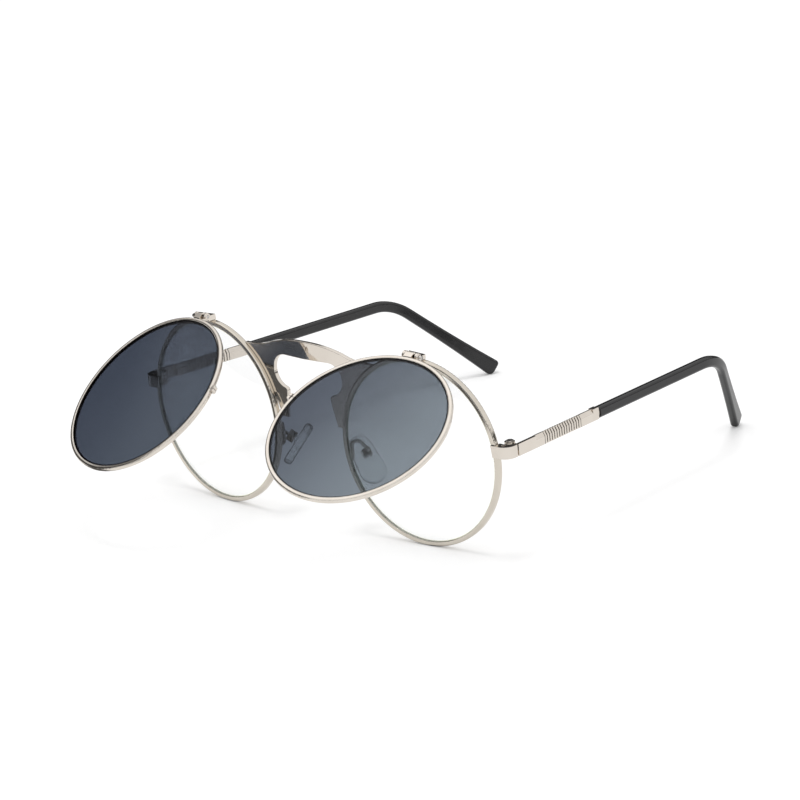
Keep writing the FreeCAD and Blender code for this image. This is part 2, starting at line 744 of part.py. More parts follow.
def build_bridge():
    """The bridge plate: its front outline cut from the folded strip, and seated against both rims."""
    deep = D.bridge_fold_radius * 2
    panel = bridge_outline().extrude(Y_AXIS * deep)
    panel.translate(Y_AXIS * -deep)
    strip = bridge_band().extrude(Z_AXIS * D.bridge_crown * 2)
    half = panel.common(strip)
    whole = half.fuse(half.mirror(ORIGIN, X_AXIS)).removeSplitter()
    whole = whole.makeFillet(D.bridge_edge_round, plate_edges(whole))
    wedge = foot_cutter()
    whole = whole.cut(wedge).cut(wedge.mirror(ORIGIN, X_AXIS))
    plate_place = Placement(front(0, D.bridge_fold_radius - D.bridge_forward, 0), Rotation())
    plate = shaped("bridge_strip", whole, plate_place)
    seats = [envelope(f"bridge_seat_{side}", S.rim_radius + S.rim_width / 2 + S.seat_gap,
                      S.rim_depth + S.bridge_crown, lens_frame(side)) for side in SIDE_SIGNS]
    keep("bridge_plate", cut("bridge_plate", plate, *seats))


def end_piece_plan(sign):
    """The end piece seen from above: from the rim out to the corner and back to the hinge seam."""
    rim_side = D.lens_spacing / 2 + D.rim_radius - D.rim_width * 2
    reach = D.end_piece_reach
    corner = D.end_piece_corner
    near = D.end_piece_front
    far = D.end_piece_rear
    inside = reach - D.end_piece_strap
    diagonal = corner * (1 - math.sqrt(0.5))

    def place(across, back):
        return Vector(sign * across, back, 0)

    back_of_block = lock_front() + D.lock_depth
    edges = [
        Part.LineSegment(place(rim_side, near), place(reach - corner, near)).toShape(),
        Part.Arc(place(reach - corner, near), place(reach - diagonal, near + diagonal),
                 place(reach, near + corner)).toShape(),
        Part.LineSegment(place(reach, near + corner), place(reach, far)).toShape(),
        Part.LineSegment(place(reach, far), place(inside, far)).toShape(),
        Part.LineSegment(place(inside, far), place(inside, back_of_block)).toShape(),
        Part.LineSegment(place(inside, back_of_block), place(rim_side, back_of_block)).toShape(),
        Part.LineSegment(place(rim_side, back_of_block), place(rim_side, near)).toShape(),
    ]
    return Part.Face(Part.Wire(edges))


def hinge_heights():
    """The lower ends of the three hinge knuckles, from the middle of the hinge."""
    half_middle = D.hinge_middle / 2
    low = -half_middle - D.hinge_knuckle_gap - D.hinge_knuckle
    high = half_middle + D.hinge_knuckle_gap
    return low, -half_middle, high


def build_end_piece(side):
    """The strap from the rim to the hinge, with the two outer knuckles, and the hinge screw."""
    sign = side_sign(side)
    place = upright_frame(side)
    strap_place = Placement(front(0, 0, D.temple_height_above_centre - D.bar_height / 2), Rotation())
    strap = shaped(f"end_strap_{side}", end_piece_plan(sign).extrude(Z_AXIS * D.bar_height), strap_place)
    inner_face = D.end_piece_reach - D.end_piece_strap - D.hinge_reach
    low, _, high = hinge_heights()
    pieces = [strap]
    for number, start in enumerate((low, high)):
        pieces.append(cylinder(f"end_knuckle{number}_{side}", S.hinge_radius, S.hinge_knuckle,
                               shifted(place, 0, 0, start)))
        web_depth = D.hinge_setback - D.end_piece_rear + D.hinge_web
        tall = S.bar_height / 2 - S.hinge_middle / 2 - S.hinge_knuckle_gap
        web_start = start if start > 0 else -D.bar_height / 2
        web_place = shifted(place, 0 if sign > 0 else -inner_face, -web_depth, web_start)
        pieces.append(box(f"end_web{number}_{side}", S.hinge_inset, S.hinge_web, tall, web_place))
    bore = cylinder(f"end_bore_{side}", S.hinge_screw_radius + S.seat_gap, S.bar_height * 4,
                    shifted(place, 0, 0, -D.bar_height * 2))
    screw_bore = cylinder(f"end_lock_bore_{side}", S.lock_screw_radius + S.seat_gap, S.bar_height * 2,
                          Placement(front(sign * D.lock_screw_reach, lock_middle(), 0), Rotation()))
    pocket_floor = D.temple_height_above_centre + D.bar_height / 2 - D.lock_pocket
    pocket_place = front(sign * D.lock_screw_reach, lock_middle(), pocket_floor)
    pocket = cylinder(f"end_pocket_{side}", S.lock_screw_head_radius + S.lock_head_gap,
                      S.lock_pocket + S.cut_overrun, Placement(pocket_place, Rotation()))
    room_wide = S.rim_width / 2 + S.lock_screw_outside + S.lock_width / 2 + S.rim_split
    room_start = D.lens_spacing / 2 + D.rim_radius
    room_end = room_start + room_wide.value
    lock_foot = D.temple_height_above_centre - D.bar_height / 2
    room_across = room_start if sign > 0 else -room_end
    room_place = front(room_across, lock_front() - D.rim_split, lock_foot - D.cut_overrun)
    room_height = S.lock_height + S.rim_split + S.cut_overrun
    room = box(f"end_lock_room_{side}", room_wide, S.lock_depth + S.rim_split * 2, room_height,
               Placement(room_place, Rotation()))
    seat = rim_room(f"end_seat_{side}", side)
    opening = envelope(f"end_opening_{side}", S.rim_radius - S.rim_width / 2, S.rim_depth * 2,
                       lens_frame(side))
    whole = fuse(f"end_piece_{side}", *pieces)
    keep(f"end_piece_{side}", cut(f"end_piece_{side}", whole, bore, screw_bore, pocket, room, seat, opening))

    barrel = S.hinge_knuckle * 2 + S.hinge_knuckle_gap * 2 + S.hinge_middle
    fixing = screw(f"temple_screw_{side}", S.hinge_screw_head_radius, S.hinge_screw_head,
                   S.hinge_screw_radius, barrel, shifted(place, 0, 0, barrel.value / 2))
    keep(f"temple_screw_{side}", fixing)


def flat_section(sign):
    """The plain section of the bar's thin front stretch."""
    outer = S.end_piece_reach - S.hinge_reach
    inner = outer - S.bar_flat_thickness
    half = S.bar_height / 2
    corners = [(inner, -half), (outer, -half), (outer, half), (inner, half)]
    return [(across * sign, up) for across, up in corners]


def bar_section(sign, inset):
    """The bar's section behind the flat stretch, drawn in by an inset, with its upper edges bevelled."""
    inner = S.end_piece_reach - S.end_piece_strap - S.hinge_reach + inset
    outer = S.end_piece_reach - S.hinge_reach - inset
    half = S.bar_height / 2 - inset
    drop = S.bar_bevel
    step = S.bar_bevel * BAR_BEVEL_INSET_SHARE
    corners = [(inner, -half), (outer, -half), (outer, half - drop), (outer - step, half),
               (inner + step, half), (inner, half - drop)]
    return [(across * sign, up) for across, up in corners]


def bar_pad(body, name, points, start, length):
    """One stretch of the bar, from a start along the bar."""
    sketch = profile(body, f"{name}_section", "XZ_Plane", points)
    bind(sketch, "AttachmentOffset.Base.z", -start)
    pad = body.newObject("PartDesign::Pad", name)
    pad.Profile = sketch
    bind(pad, "Length", length)
    pad.Reversed = True
    return pad


def bar_lengths():
    """Where the bar's stretches start, as sizes along the bar."""
    flat = S.end_piece_rear - S.hinge_setback + S.hinge_seam
    lead = flat + S.bar_flat_length
    ribs = lead + S.bar_lead_length
    tail = ribs + S.bar_rib_spacing * BAR_RIB_COUNT
    end = tail + S.bar_tail_length
    return flat, lead, ribs, tail, end


def build_temple_bar(side):
    """The metal bar: flat front, bevelled lead, ribs, tail with a round end, and the middle hinge knuckle."""
    sign = side_sign(side)
    place = temple_frame(side)
    flat, lead, ribs, tail, end = bar_lengths()
    body = doc.addObject("PartDesign::Body", f"temple_body_{side}")
    bar_pad(body, f"bar_flat_{side}", flat_section(sign), flat, S.bar_flat_length)
    bar_pad(body, f"bar_lead_{side}", bar_section(sign, ZERO), lead, S.bar_lead_length)
    bar_pad(body, f"bar_core_{side}", bar_section(sign, S.bar_rib_depth), ribs,
            S.bar_rib_spacing * BAR_RIB_COUNT)
    for number in range(BAR_RIB_COUNT):
        start = ribs + S.bar_rib_spacing * number + (S.bar_rib_spacing - S.bar_rib_length) / 2
        bar_pad(body, f"bar_rib{number}_{side}", bar_section(sign, ZERO), start, S.bar_rib_length)
    bar_pad(body, f"bar_tail_{side}", bar_section(sign, ZERO), tail, S.bar_tail_length)
    body.Placement = place

    inner_face = D.end_piece_reach - D.end_piece_strap - D.hinge_reach
    outer_face = D.end_piece_reach - D.hinge_reach
    start_face = inner_face if sign > 0 else -outer_face
    collar_middle = end.value - D.bar_collar_setback
    barrel = cylinder(f"bar_collar_end_{side}", S.bar_collar_radius, S.end_piece_strap,
                      shifted(place, start_face, collar_middle, 0, LAY_ALONG_X))
    block = box(f"bar_collar_block_{side}", S.end_piece_strap, S.bar_collar_length + S.bar_collar_radius,
                S.bar_height, shifted(place, start_face, end.value - D.bar_collar_length, -D.bar_height / 2))
    collar = doc.addObject("Part::MultiCommon", f"bar_collar_{side}")
    collar.Shapes = [barrel, block]
    upright = upright_frame(side)
    _, middle, _ = hinge_heights()
    knuckle = cylinder(f"bar_knuckle_{side}", S.hinge_radius, S.hinge_middle, shifted(upright, 0, 0, middle))
    turned = upright * Placement(ORIGIN, Rotation(Z_AXIS, sign * D.temple_toe_angle))
    web_wide = S.hinge_inset + S.end_piece_strap - S.bar_flat_thickness
    web_place = shifted(turned, 0 if sign > 0 else -web_wide.value, D.hinge_web_start, middle)
    web = box(f"bar_web_{side}", web_wide, S.hinge_web, S.hinge_middle, web_place)
    bore = cylinder(f"bar_bore_{side}", S.hinge_screw_radius + S.running_gap, S.bar_height * 2,
                    shifted(upright, 0, 0, -D.bar_height))
    bar = fuse(f"temple_bar_{side}", body, collar, knuckle, web)
    keep(f"temple_bar_{side}", cut(f"temple_bar_{side}", bar, bore))


def rounded_section(height, thickness, corner):
    """A rounded rectangle in the X-Z plane, thickness across and height up, centred."""
    half_across = thickness / 2
    half_up = height / 2
    slack = corner * (1 - math.sqrt(0.5))
    edges = []
    turns = ((1, 1), (-1, 1), (-1, -1), (1, -1))
    for number, (right, up) in enumerate(turns):
        centre = Vector(right * (half_across - corner), 0, up * (half_up - corner))
        on_side = centre + Vector(right * corner, 0, 0)
        on_top = centre + Vector(0, 0, up * corner)
        middle = Vector(right * (half_across - slack), 0, up * (half_up - slack))
        first, last = (on_side, on_top) if number % 2 == 0 else (on_top, on_side)
        edges.append(Part.Arc(first, middle, last).toShape())
    return Part.Wire(Part.__sortEdges__(close_corners(edges)))


def close_corners(arcs):
    """The corner arcs of a rounded rectangle with the straight sides between them."""
    edges = []
    for number, arc in enumerate(arcs):
        following = arcs[(number + 1) % len(arcs)]
        edges.append(arc)
        edges.append(Part.LineSegment(arc.Vertexes[-1].Point, following.Vertexes[0].Point).toShape())
    return edges


def tip_path(side):
    """The centre line of a temple tip in the temple's frame: bar line, ear bend and hook."""
    sign = side_sign(side)
    _, _, _, _, end = bar_lengths()
    across = sign * (D.end_piece_reach - D.hinge_reach - D.end_piece_strap / 2)
    lean = math.radians(D.tip_lean_angle)
    down = Vector(-sign * math.sin(lean), 0, -math.cos(lean))
    angle = math.radians(sided("tip_bend_angle", side))
    setback = D.tip_bend_radius * math.tan(angle / 2)
    start = Vector(across, end.value, 0)
    bend_start = Vector(across, D.tip_bend_at - setback, 0)
    centre = bend_start + down * D.tip_bend_radius

    def on_bend(turn):
        spoke = Y_AXIS * math.sin(turn) - down * math.cos(turn)
        return centre + spoke * D.tip_bend_radius

    heading = Y_AXIS * math.cos(angle) + down * math.sin(angle)
    bend_end = on_bend(angle)
    turn_axis = Y_AXIS.cross(down)
    return start, bend_start, on_bend(angle / 2), bend_end, heading, turn_axis


def tip_hook(side):
    """The length of a tip's hook at which the lower corner of its end stands on the table."""
    place = temple_frame(side)
    _, _, _, bend_end, heading, turn_axis = tip_path(side)
    turn = Rotation(turn_axis, sided("tip_bend_angle", side))
    across = place.Rotation.multVec(turn.multVec(X_AXIS))
    upward = place.Rotation.multVec(turn.multVec(Z_AXIS))
    corner = D.tip_lower_round
    below = D.tip_corner + (corner - D.tip_corner) * math.sqrt(1 - across.z ** 2)
    below += (D.tip_thickness / 2 - D.tip_corner) * abs(across.z)
    below += (D.tip_paddle_height / 2 - corner) * upward.z
    falling = -place.Rotation.multVec(heading).z
    return corner + (place.multVec(bend_end).z - below) / falling


def paddle_side(length, corner_round, up):
    """One long side of a paddle: a flare that meets a round corner, and where the straight end starts."""
    half = D.tip_height / 2
    reach = length - corner_round
    rise = D.tip_paddle_height / 2 - corner_round
    apart_up = half - rise
    flare = (reach ** 2 + apart_up ** 2 - corner_round ** 2) / (D.tip_paddle_height - D.tip_height)
    sweep = math.asin(reach / (flare + corner_round))

    def place(along, above):
        return Vector(0, along, up * above)

    def on_flare(angle):
        return place(flare * math.sin(angle), half + flare - flare * math.cos(angle))

    def on_corner(angle):
        return place(reach + corner_round * math.sin(angle), rise + corner_round * math.cos(angle))

    halfway = (math.pi / 2 - sweep) / 2
    end = on_corner(math.pi / 2)
    edges = [Part.Arc(place(0, half), on_flare(sweep / 2), on_flare(sweep)).toShape(),
             Part.Arc(on_flare(sweep), on_corner(halfway), end).toShape()]
    return edges, place(0, half), end


def paddle(length):
    """The end of a temple tip along its own Y: it flares smoothly to a straight end with round corners."""
    upper, upper_start, upper_end = paddle_side(length, D.tip_upper_round, 1)
    lower, lower_start, lower_end = paddle_side(length, D.tip_lower_round, -1)
    edges = upper + lower
    edges.append(Part.LineSegment(upper_end, lower_end).toShape())
    edges.append(Part.LineSegment(lower_start, upper_start).toShape())
    outline = Part.Wire(Part.__sortEdges__(edges))
    blank = Part.Face(outline).extrude(X_AXIS * D.tip_thickness)
    blank.translate(X_AXIS * -D.tip_thickness / 2)
    long_edges = []
    for edge in blank.Edges:
        at_root = edge.BoundBox.YMax < D.seat_gap
        if edge.BoundBox.XLength < D.seat_gap and not at_root:
            long_edges.append(edge)
    return blank.makeFillet(D.tip_corner, long_edges)


def build_temple_tip(side):
    """The plastic tip with its paddle end, and the wire core that it is pushed over."""
    place = temple_frame(side)
    start, bend_start, bend_middle, bend_end, heading, turn_axis = tip_path(side)
    turn = Rotation(turn_axis, sided("tip_bend_angle", side))
    spine = Part.Wire([Part.LineSegment(start, bend_start).toShape(),
                       Part.Arc(bend_start, bend_middle, bend_end).toShape()])

    section = rounded_section(D.tip_height, D.tip_thickness, D.tip_corner)
    section.Placement = Placement(start, Rotation())
    bar = spine.makePipeShell([section], True, False)
    hook_length = tip_hook(side)
    hook = paddle(hook_length)
    hook.Placement = Placement(bend_end, turn)
    solid = bar.fuse(hook).removeSplitter()

    collar_middle = start - X_AXIS * D.tip_thickness - Y_AXIS * D.bar_collar_setback
    collar_hole = Part.makeCylinder(D.bar_collar_radius + D.seat_gap, D.tip_thickness * 2, collar_middle,
                                    X_AXIS)
    core_start = start + Y_AXIS * (D.bar_collar_bulge + D.seat_gap)
    core_end = bend_end + heading * (hook_length - D.core_end_gap)
    core_spine = Part.Wire([Part.LineSegment(core_start, bend_start).toShape(),
                            Part.Arc(bend_start, bend_middle, bend_end).toShape(),
                            Part.LineSegment(bend_end, core_end).toShape()])

    def wire_along(radius):
        circle = Part.Wire(Part.Circle(core_start, Y_AXIS, radius).toShape())
        return core_spine.makePipeShell([circle], True, False)

    core = wire_along(D.core_radius)
    bore = wire_along(D.core_radius + D.seat_gap)
    mouth = Part.makeCylinder(D.core_radius + D.seat_gap, D.bar_height, core_start - Y_AXIS * D.bar_height,
                              Y_AXIS)
    tip = solid.cut(collar_hole).cut(bore).cut(mouth)
    keep(f"temple_tip_{side}", shaped(f"tip_{side}", tip, place))
    keep(f"temple_core_{side}", shaped(f"core_{side}", core, place))


def pad_frame(side):
    """The frame of one nose pad: its own X is the pad's face normal, away from the nose, Z along the pad."""
    sign = side_sign(side)
    base = front(sign * D.pad_reach, D.pad_setback, -D.pad_below_centre)
    turn = Rotation(Z_AXIS, -sign * D.pad_plan_angle) * Rotation(Y_AXIS, -sign * D.pad_splay_angle)
    return Placement(base, turn * Rotation(X_AXIS, D.pad_tilt_angle))


def egg_face():
    """The outline of a nose pad in its own Y-Z plane, wider at the bottom."""
    top = D.pad_top_radius
    bottom = D.pad_bottom_radius
    apart = D.pad_length - top - bottom
    tilt = math.asin((bottom - top) / apart)
    high = Vector(0, 0, D.pad_length / 2 - top)
    low = Vector(0, 0, bottom - D.pad_length / 2)

    def flank(centre, radius, sign):
        return centre + Vector(0, sign * radius * math.cos(tilt), radius * math.sin(tilt))

    edges = [
        Part.Arc(flank(high, top, 1), high + Z_AXIS * top, flank(high, top, -1)).toShape(),
        Part.LineSegment(flank(high, top, -1), flank(low, bottom, -1)).toShape(),
        Part.Arc(flank(low, bottom, -1), low - Z_AXIS * bottom, flank(low, bottom, 1)).toShape(),
        Part.LineSegment(flank(low, bottom, 1), flank(high, top, 1)).toShape(),
    ]
    return Part.Face(Part.Wire(edges))


def build_nose_pad(side):
    """The soft pad with its lug, the box that holds the lug, their cross screw and the wire arm."""
    sign = side_sign(side)
    place = pad_frame(side)
    cushion = egg_face().extrude(X_AXIS * D.pad_thickness)
    cushion = cushion.makeFillet(D.pad_edge_round, [edge for edge in cushion.Edges if on_pad_rim(edge)])
    cushion.translate(X_AXIS * -D.pad_thickness / 2)
    root = D.pad_thickness / 2 - D.pad_edge_round
    lug = Part.makeBox(D.pad_lug_length + D.pad_edge_round, D.pad_lug_thickness, D.pad_lug_width,
                       Vector(root, -D.pad_lug_thickness / 2, D.pad_lug_above - D.pad_lug_width / 2))
    screw_at = D.pad_thickness / 2 + D.pad_lug_length / 2
    hole = Part.makeCylinder(D.pad_screw_radius + D.running_gap, D.pad_box_width * 2,
                             Vector(screw_at, -D.pad_box_width, D.pad_lug_above), Y_AXIS)
    pad = cushion.fuse(lug).cut(hole)
    outward = Placement(ORIGIN, Rotation(Z_AXIS, 0 if sign > 0 else 180))
    seat = place * outward
    keep(f"nose_pad_{side}", shaped(f"pad_{side}", pad, seat))

    box_start = D.pad_thickness / 2 + D.pad_box_side_gap * 2
    slot = D.pad_lug_thickness + D.pad_box_side_gap * 2
    shell = Part.makeBox(D.pad_box_depth, slot + D.pad_box_wall * 2, D.pad_box_width,
                         Vector(box_start, -slot / 2 - D.pad_box_wall, D.pad_lug_above - D.pad_box_width / 2))
    room = D.pad_lug_length + D.pad_thickness / 2 + D.pad_box_side_gap - box_start
    inside = Part.makeBox(room + D.cut_overrun, slot, D.pad_box_width * 2,
                          Vector(box_start - D.cut_overrun, -slot / 2, -D.pad_box_width))
    screw_hole = Part.makeCylinder(D.pad_screw_radius + D.seat_gap, D.pad_box_width * 2,
                                   Vector(screw_at, -D.pad_box_width, D.pad_lug_above), Y_AXIS)
    keep(f"pad_box_{side}", shaped(f"box_{side}", shell.cut(inside).cut(screw_hole), seat))
    length = slot + D.pad_box_wall * 2
    pin_start = Vector(screw_at, -length / 2, D.pad_lug_above)
    pin = Part.makeCylinder(D.pad_screw_radius, length, pin_start, Y_AXIS)
    keep(f"pad_screw_{side}", shaped(f"pad_pin_{side}", pin, seat))

    box_back = seat.multVec(Vector(box_start + D.pad_box_depth, 0, D.pad_lug_above))
    keep(f"pad_arm_{side}", shaped(f"arm_{side}", pad_arm(side, box_back, seat.Rotation.multVec(X_AXIS))))


def on_pad_rim(edge):
    """Whether an edge of the blank pad runs round one of its two faces."""
    return edge.BoundBox.XLength < D.seat_gap


def pad_arm(side, box_back, leaving):
    """The bent wire from the back of the rim, up and over to the back of the pad box."""
    sign = side_sign(side)
    drop = D.pad_arm_root_below
    on_rim = math.sqrt(D.rim_radius ** 2 - drop ** 2)
    rear = D.rim_depth / 2 + D.seat_gap
    root = lens_frame(side).multVec(Vector(-sign * on_rim, rear, -drop))
    inward = lens_frame(side).Rotation.multVec(Y_AXIS)
    out = root + inward * D.pad_arm_back
    top = out + Z_AXIS * D.pad_arm_rise
    beyond = box_back + leaving * (D.pad_arm_bend * 2)
    crest = top + (beyond - top) * PAD_ARM_CREST_SHARE
    crest.z = top.z + D.pad_arm_crest
    route = [root, out, top, crest, beyond, box_back + leaving * D.seat_gap]
    return bent_wire(route, D.pad_arm_radius, D.pad_arm_bend)


def bent_wire(route, radius, bend):
    """A round wire along straight runs joined by tangent arcs."""
    edges = []
    last = route[0]
    for before, corner, after in zip(route, route[1:], route[2:]):
        come = (before - corner).normalize()
        go = (after - corner).normalize()
        half_turn = (math.pi - come.getAngle(go)) / 2
        setback = bend * math.tan(half_turn)
        enter = corner + come * setback
        leave = corner + go * setback
        towards = (come + go).normalize()
        middle = corner + towards * (bend / math.cos(half_turn) - bend)
        edges.append(Part.LineSegment(last, enter).toShape())
        edges.append(Part.Arc(enter, middle, leave).toShape())
        last = leave
    edges.append(Part.LineSegment(last, route[-1]).toShape())
    spine = Part.Wire(edges)
    heading = (route[1] - route[0]).normalize()
    circle = Part.Wire(Part.Circle(route[0], heading, radius).toShape())
    return spine.makePipeShell([circle], True, False)


for wearer_side in SIDE_SIGNS:
    build_rim(wearer_side)
    build_flip(wearer_side)
    build_flip_hinge(wearer_side)
    build_end_piece(wearer_side)
    build_temple_bar(wearer_side)
    build_temple_tip(wearer_side)
    build_nose_pad(wearer_side)
build_bridge()
doc.recompute()

failed = [item.Name for item in doc.Objects if "Invalid" in item.State or "Error" in item.State]
for node, item in NODES.items():
    if item.Shape.isNull() or not item.Shape.isValid() or not item.Shape.Solids:
        failed.append(node)
if failed:
    raise RuntimeError(f"failed objects: {failed}")

os.makedirs("parts", exist_ok=True)
whole_box = FreeCAD.BoundBox()
for node, item in NODES.items():
    item.Shape.exportStep(f"parts/{node}.step")
    whole_box.add(item.Shape.BoundBox)
    print(f"{node}: solids {len(item.Shape.Solids)}, lowest {item.Shape.BoundBox.ZMin:.3f}")
print(f"whole: {whole_box}")
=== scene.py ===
"""Flip-up sunglasses: finishes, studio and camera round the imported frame.

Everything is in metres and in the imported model's frame: +X to the wearer's left, +Y towards the
ears and +Z up.
"""

import logging
import math
from dataclasses import dataclass, field
from enum import Enum
from functools import lru_cache

import bpy
import numpy as np
from mathutils import Matrix, Vector

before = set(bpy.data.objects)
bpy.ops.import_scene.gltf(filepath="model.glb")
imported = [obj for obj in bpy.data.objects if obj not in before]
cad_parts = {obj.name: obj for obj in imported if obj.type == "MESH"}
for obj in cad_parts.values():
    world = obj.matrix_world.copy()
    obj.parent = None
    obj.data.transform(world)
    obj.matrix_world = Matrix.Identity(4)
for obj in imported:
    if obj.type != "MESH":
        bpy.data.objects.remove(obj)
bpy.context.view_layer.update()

log = logging.getLogger("sunglasses")

Colour = tuple[float, float, float]
Point = tuple[float, float, float]
Span = tuple[float, float]
Socket = bpy.types.NodeSocket
Term = Socket | Vector | float | tuple[float, ...]

WHITE: Colour = (1.0, 1.0, 1.0)


class Side(Enum):
    """The wearer's two sides, by the ending that the nodes of that side have."""

    LEFT = "left"
    RIGHT = "right"

    def node(self, piece: str) -> str:
        """The name of this side's node of a piece."""
        return f"{piece}_{self.value}"


class Ray(Enum):
    """The kinds of ray that a material or the room treats in its own way, by the Light Path output."""

    CAMERA = "Is Camera Ray"
    MIRRORED = "Is Glossy Ray"
    THROUGH = "Is Transmission Ray"
    SHADOW = "Is Shadow Ray"
    SPREAD = "Is Diffuse Ray"


class Mixed(Enum):
    """What a mix node mixes, by its data type in Blender."""

    VALUES = "FLOAT"
    COLOURS = "RGBA"


class SocketKind(Enum):
    """The kinds of socket that a shared effect has, by their type in Blender."""

    VALUE = "NodeSocketFloat"
    VECTOR = "NodeSocketVector"
    COLOUR = "NodeSocketColor"

    @classmethod
    def of(cls, default: float | Vector | Colour) -> "SocketKind":
        """Finds the kind of socket that holds a default.

        Args:
            default: The socket's default value.

        Returns:
            The kind of socket.
        """
        if isinstance(default, float):
            return cls.VALUE
        if isinstance(default, Vector):
            return cls.VECTOR
        return cls.COLOUR


def opaque(colour: Colour) -> tuple[float, float, float, float]:
    """A colour with full alpha, as Blender's sockets want it."""
    return (*colour, 1.0)


def label(keyword: str) -> str:
    """A socket's label, from a keyword with _ for each blank."""
    return keyword.replace("_", " ")


def direction(compass: float, height: float) -> Vector:
    """Turns two angles into a direction.

    Args:
        compass: The angle from +X towards +Y, in degrees.
        height: The angle over the horizon, in degrees.

    Returns:
        The direction, one metre long.
    """
    turn = math.radians(compass)
    rise = math.radians(height)
    level = math.cos(rise)
    return Vector((math.cos(turn) * level, math.sin(turn) * level, math.sin(rise)))


class Wiring:
    """Adds and joins the nodes of one shader tree."""

    def __init__(self, tree: bpy.types.NodeTree) -> None:
        """Starts from an empty tree."""
        self.tree = tree
        tree.nodes.clear()

    def add(self, kind: str, **settings: object) -> bpy.types.Node:
        """Adds one node.

        Args:
            kind: The node's type in Blender.
            settings: Properties of the node, such as its operation.

        Returns:
            The new node.
        """
        node = self.tree.nodes.new(kind)
        for name, value in settings.items():
            setattr(node, name, value)
        return node

    def join(self, source: Socket, target: Socket) -> None:
        """Links an output to an input."""
        self.tree.links.new(source, target)

    def feed(self, socket: Socket, term: Term) -> None:
        """Gives an input a link or a plain value.

        Args:
            socket: The input.
            term: The output to link, or the value.
        """
        if isinstance(term, Socket):
            self.join(term, socket)
        else:
            socket.default_value = term

    def math(self, operation: str, *terms: Term, clamp: bool = False) -> Socket:
        """Adds one sum of values.

        Args:
            operation: The sum's name in Blender.
            terms: One to three sockets or numbers.
            clamp: Whether the result stays between 0 and 1.

        Returns:
            The socket with the result.
        """
        node = self.add("ShaderNodeMath", operation=operation, use_clamp=clamp)
        for socket, term in zip(node.inputs, terms):
            self.feed(socket, term)
        return node.outputs[0]

    def vector(self, operation: str, *terms: Term) -> bpy.types.Node:
        """Adds one sum of vectors.

        Args:
            operation: The sum's name in Blender.
            terms: One or two sockets or vectors.

        Returns:
            The node, because some sums give a vector and some a value.
        """
        node = self.add("ShaderNodeVectorMath", operation=operation)
        for socket, term in zip(node.inputs, terms):
            self.feed(socket, term)
        return node

    def smooth_step(self, value: Term, low: Term, high: Term) -> Socket:
        """Turns a value into a smooth mask.

        Args:
            value: The value.
            low: Where the mask is still 0. It may be the larger one of the two.
            high: Where the mask has come to 1.

        Returns:
            The socket with the mask.
        """
        node = self.add("ShaderNodeMapRange", interpolation_type="SMOOTHSTEP")
        self.feed(node.inputs["Value"], value)
        self.feed(node.inputs["From Min"], low)
        self.feed(node.inputs["From Max"], high)
        return node.outputs["Result"]

    def mix(self, kind: Mixed, share: Term, first: Term, second: Term) -> Socket:
        """Mixes two values or two colours.

        Args:
            kind: What is mixed.
            share: How much of the second comes in, from 0 to 1.
            first: A socket, number or colour.
            second: A socket, number or colour.

        Returns:
            The socket with the result.
        """
        node = self.add("ShaderNodeMix", data_type=kind.value)
        self.feed(node.inputs["Factor"], share)
        self.feed(node.inputs["A"], first)
        self.feed(node.inputs["B"], second)
        return node.outputs["Result"]

    def noise(self, place: Socket, scale: Term, detail: float) -> Socket:
        """Adds an even noise.

        Args:
            place: The socket with the coordinates.
            scale: How fine it is.
            detail: How many finer layers lie on it.

        Returns:
            The socket with the noise's value.
        """
        node = self.add("ShaderNodeTexNoise")
        self.join(place, node.inputs["Vector"])
        self.feed(node.inputs["Scale"], scale)
        self.feed(node.inputs["Detail"], detail)
        return node.outputs["Fac"]

    def place(self) -> Socket:
        """The surface's own coordinates, which move with the piece."""
        return self.add("ShaderNodeTexCoord").outputs["Object"]

    def ray(self, kind: Ray) -> Socket:
        """A mask that is 1 for the rays of one kind."""
        return self.add("ShaderNodeLightPath").outputs[kind.value]

    def either_ray(self, first: Ray, second: Ray) -> Socket:
        """A mask that is 1 for the rays of either kind."""
        return self.math("MAXIMUM", self.ray(first), self.ray(second))


class GroupBuilder:
    """One shared effect as a shader node group with named inputs and outputs."""

    def __init__(self, name: str, inputs: dict[str, float | Vector | Colour],
                 outputs: dict[str, SocketKind]) -> None:
        """Makes the group and its sockets.

        Args:
            name: The group's name.
            inputs: Each input's name and default.
            outputs: Each output's name and kind.
        """
        self.group = bpy.data.node_groups.new(name, "ShaderNodeTree")
        sockets = self.group.interface
        for title, default in inputs.items():
            kind = SocketKind.of(default)
            socket = sockets.new_socket(title, in_out="INPUT", socket_type=kind.value)
            socket.default_value = opaque(default) if kind is SocketKind.COLOUR else default
        for title, kind in outputs.items():
            sockets.new_socket(title, in_out="OUTPUT", socket_type=kind.value)
        self.wiring = Wiring(self.group)
        self.inputs = self.wiring.add("NodeGroupInput").outputs
        self.outputs = self.wiring.add("NodeGroupOutput").inputs


@lru_cache(maxsize=None)
def tone_drift() -> bpy.types.NodeTree:
    """Slow wandering between two near tones, as plating, tint and moulded plastic have.

    Returns:
        The node group, with inputs Tone, Other Tone and Scale and the output Colour.
    """
    made = GroupBuilder(
        "tone_drift",
        inputs={"Tone": (0.8, 0.8, 0.8), "Other Tone": (0.7, 0.7, 0.7), "Scale": 120.0},
        outputs={"Colour": SocketKind.COLOUR},
    )
    wiring = made.wiring
    slow = wiring.noise(wiring.place(), made.inputs["Scale"], detail=3.0)
    share = wiring.smooth_step(slow, low=0.3, high=0.7)
    colour = wiring.mix(Mixed.COLOURS, share, made.inputs["Tone"], made.inputs["Other Tone"])
    wiring.join(colour, made.outputs["Colour"])
    return made.group


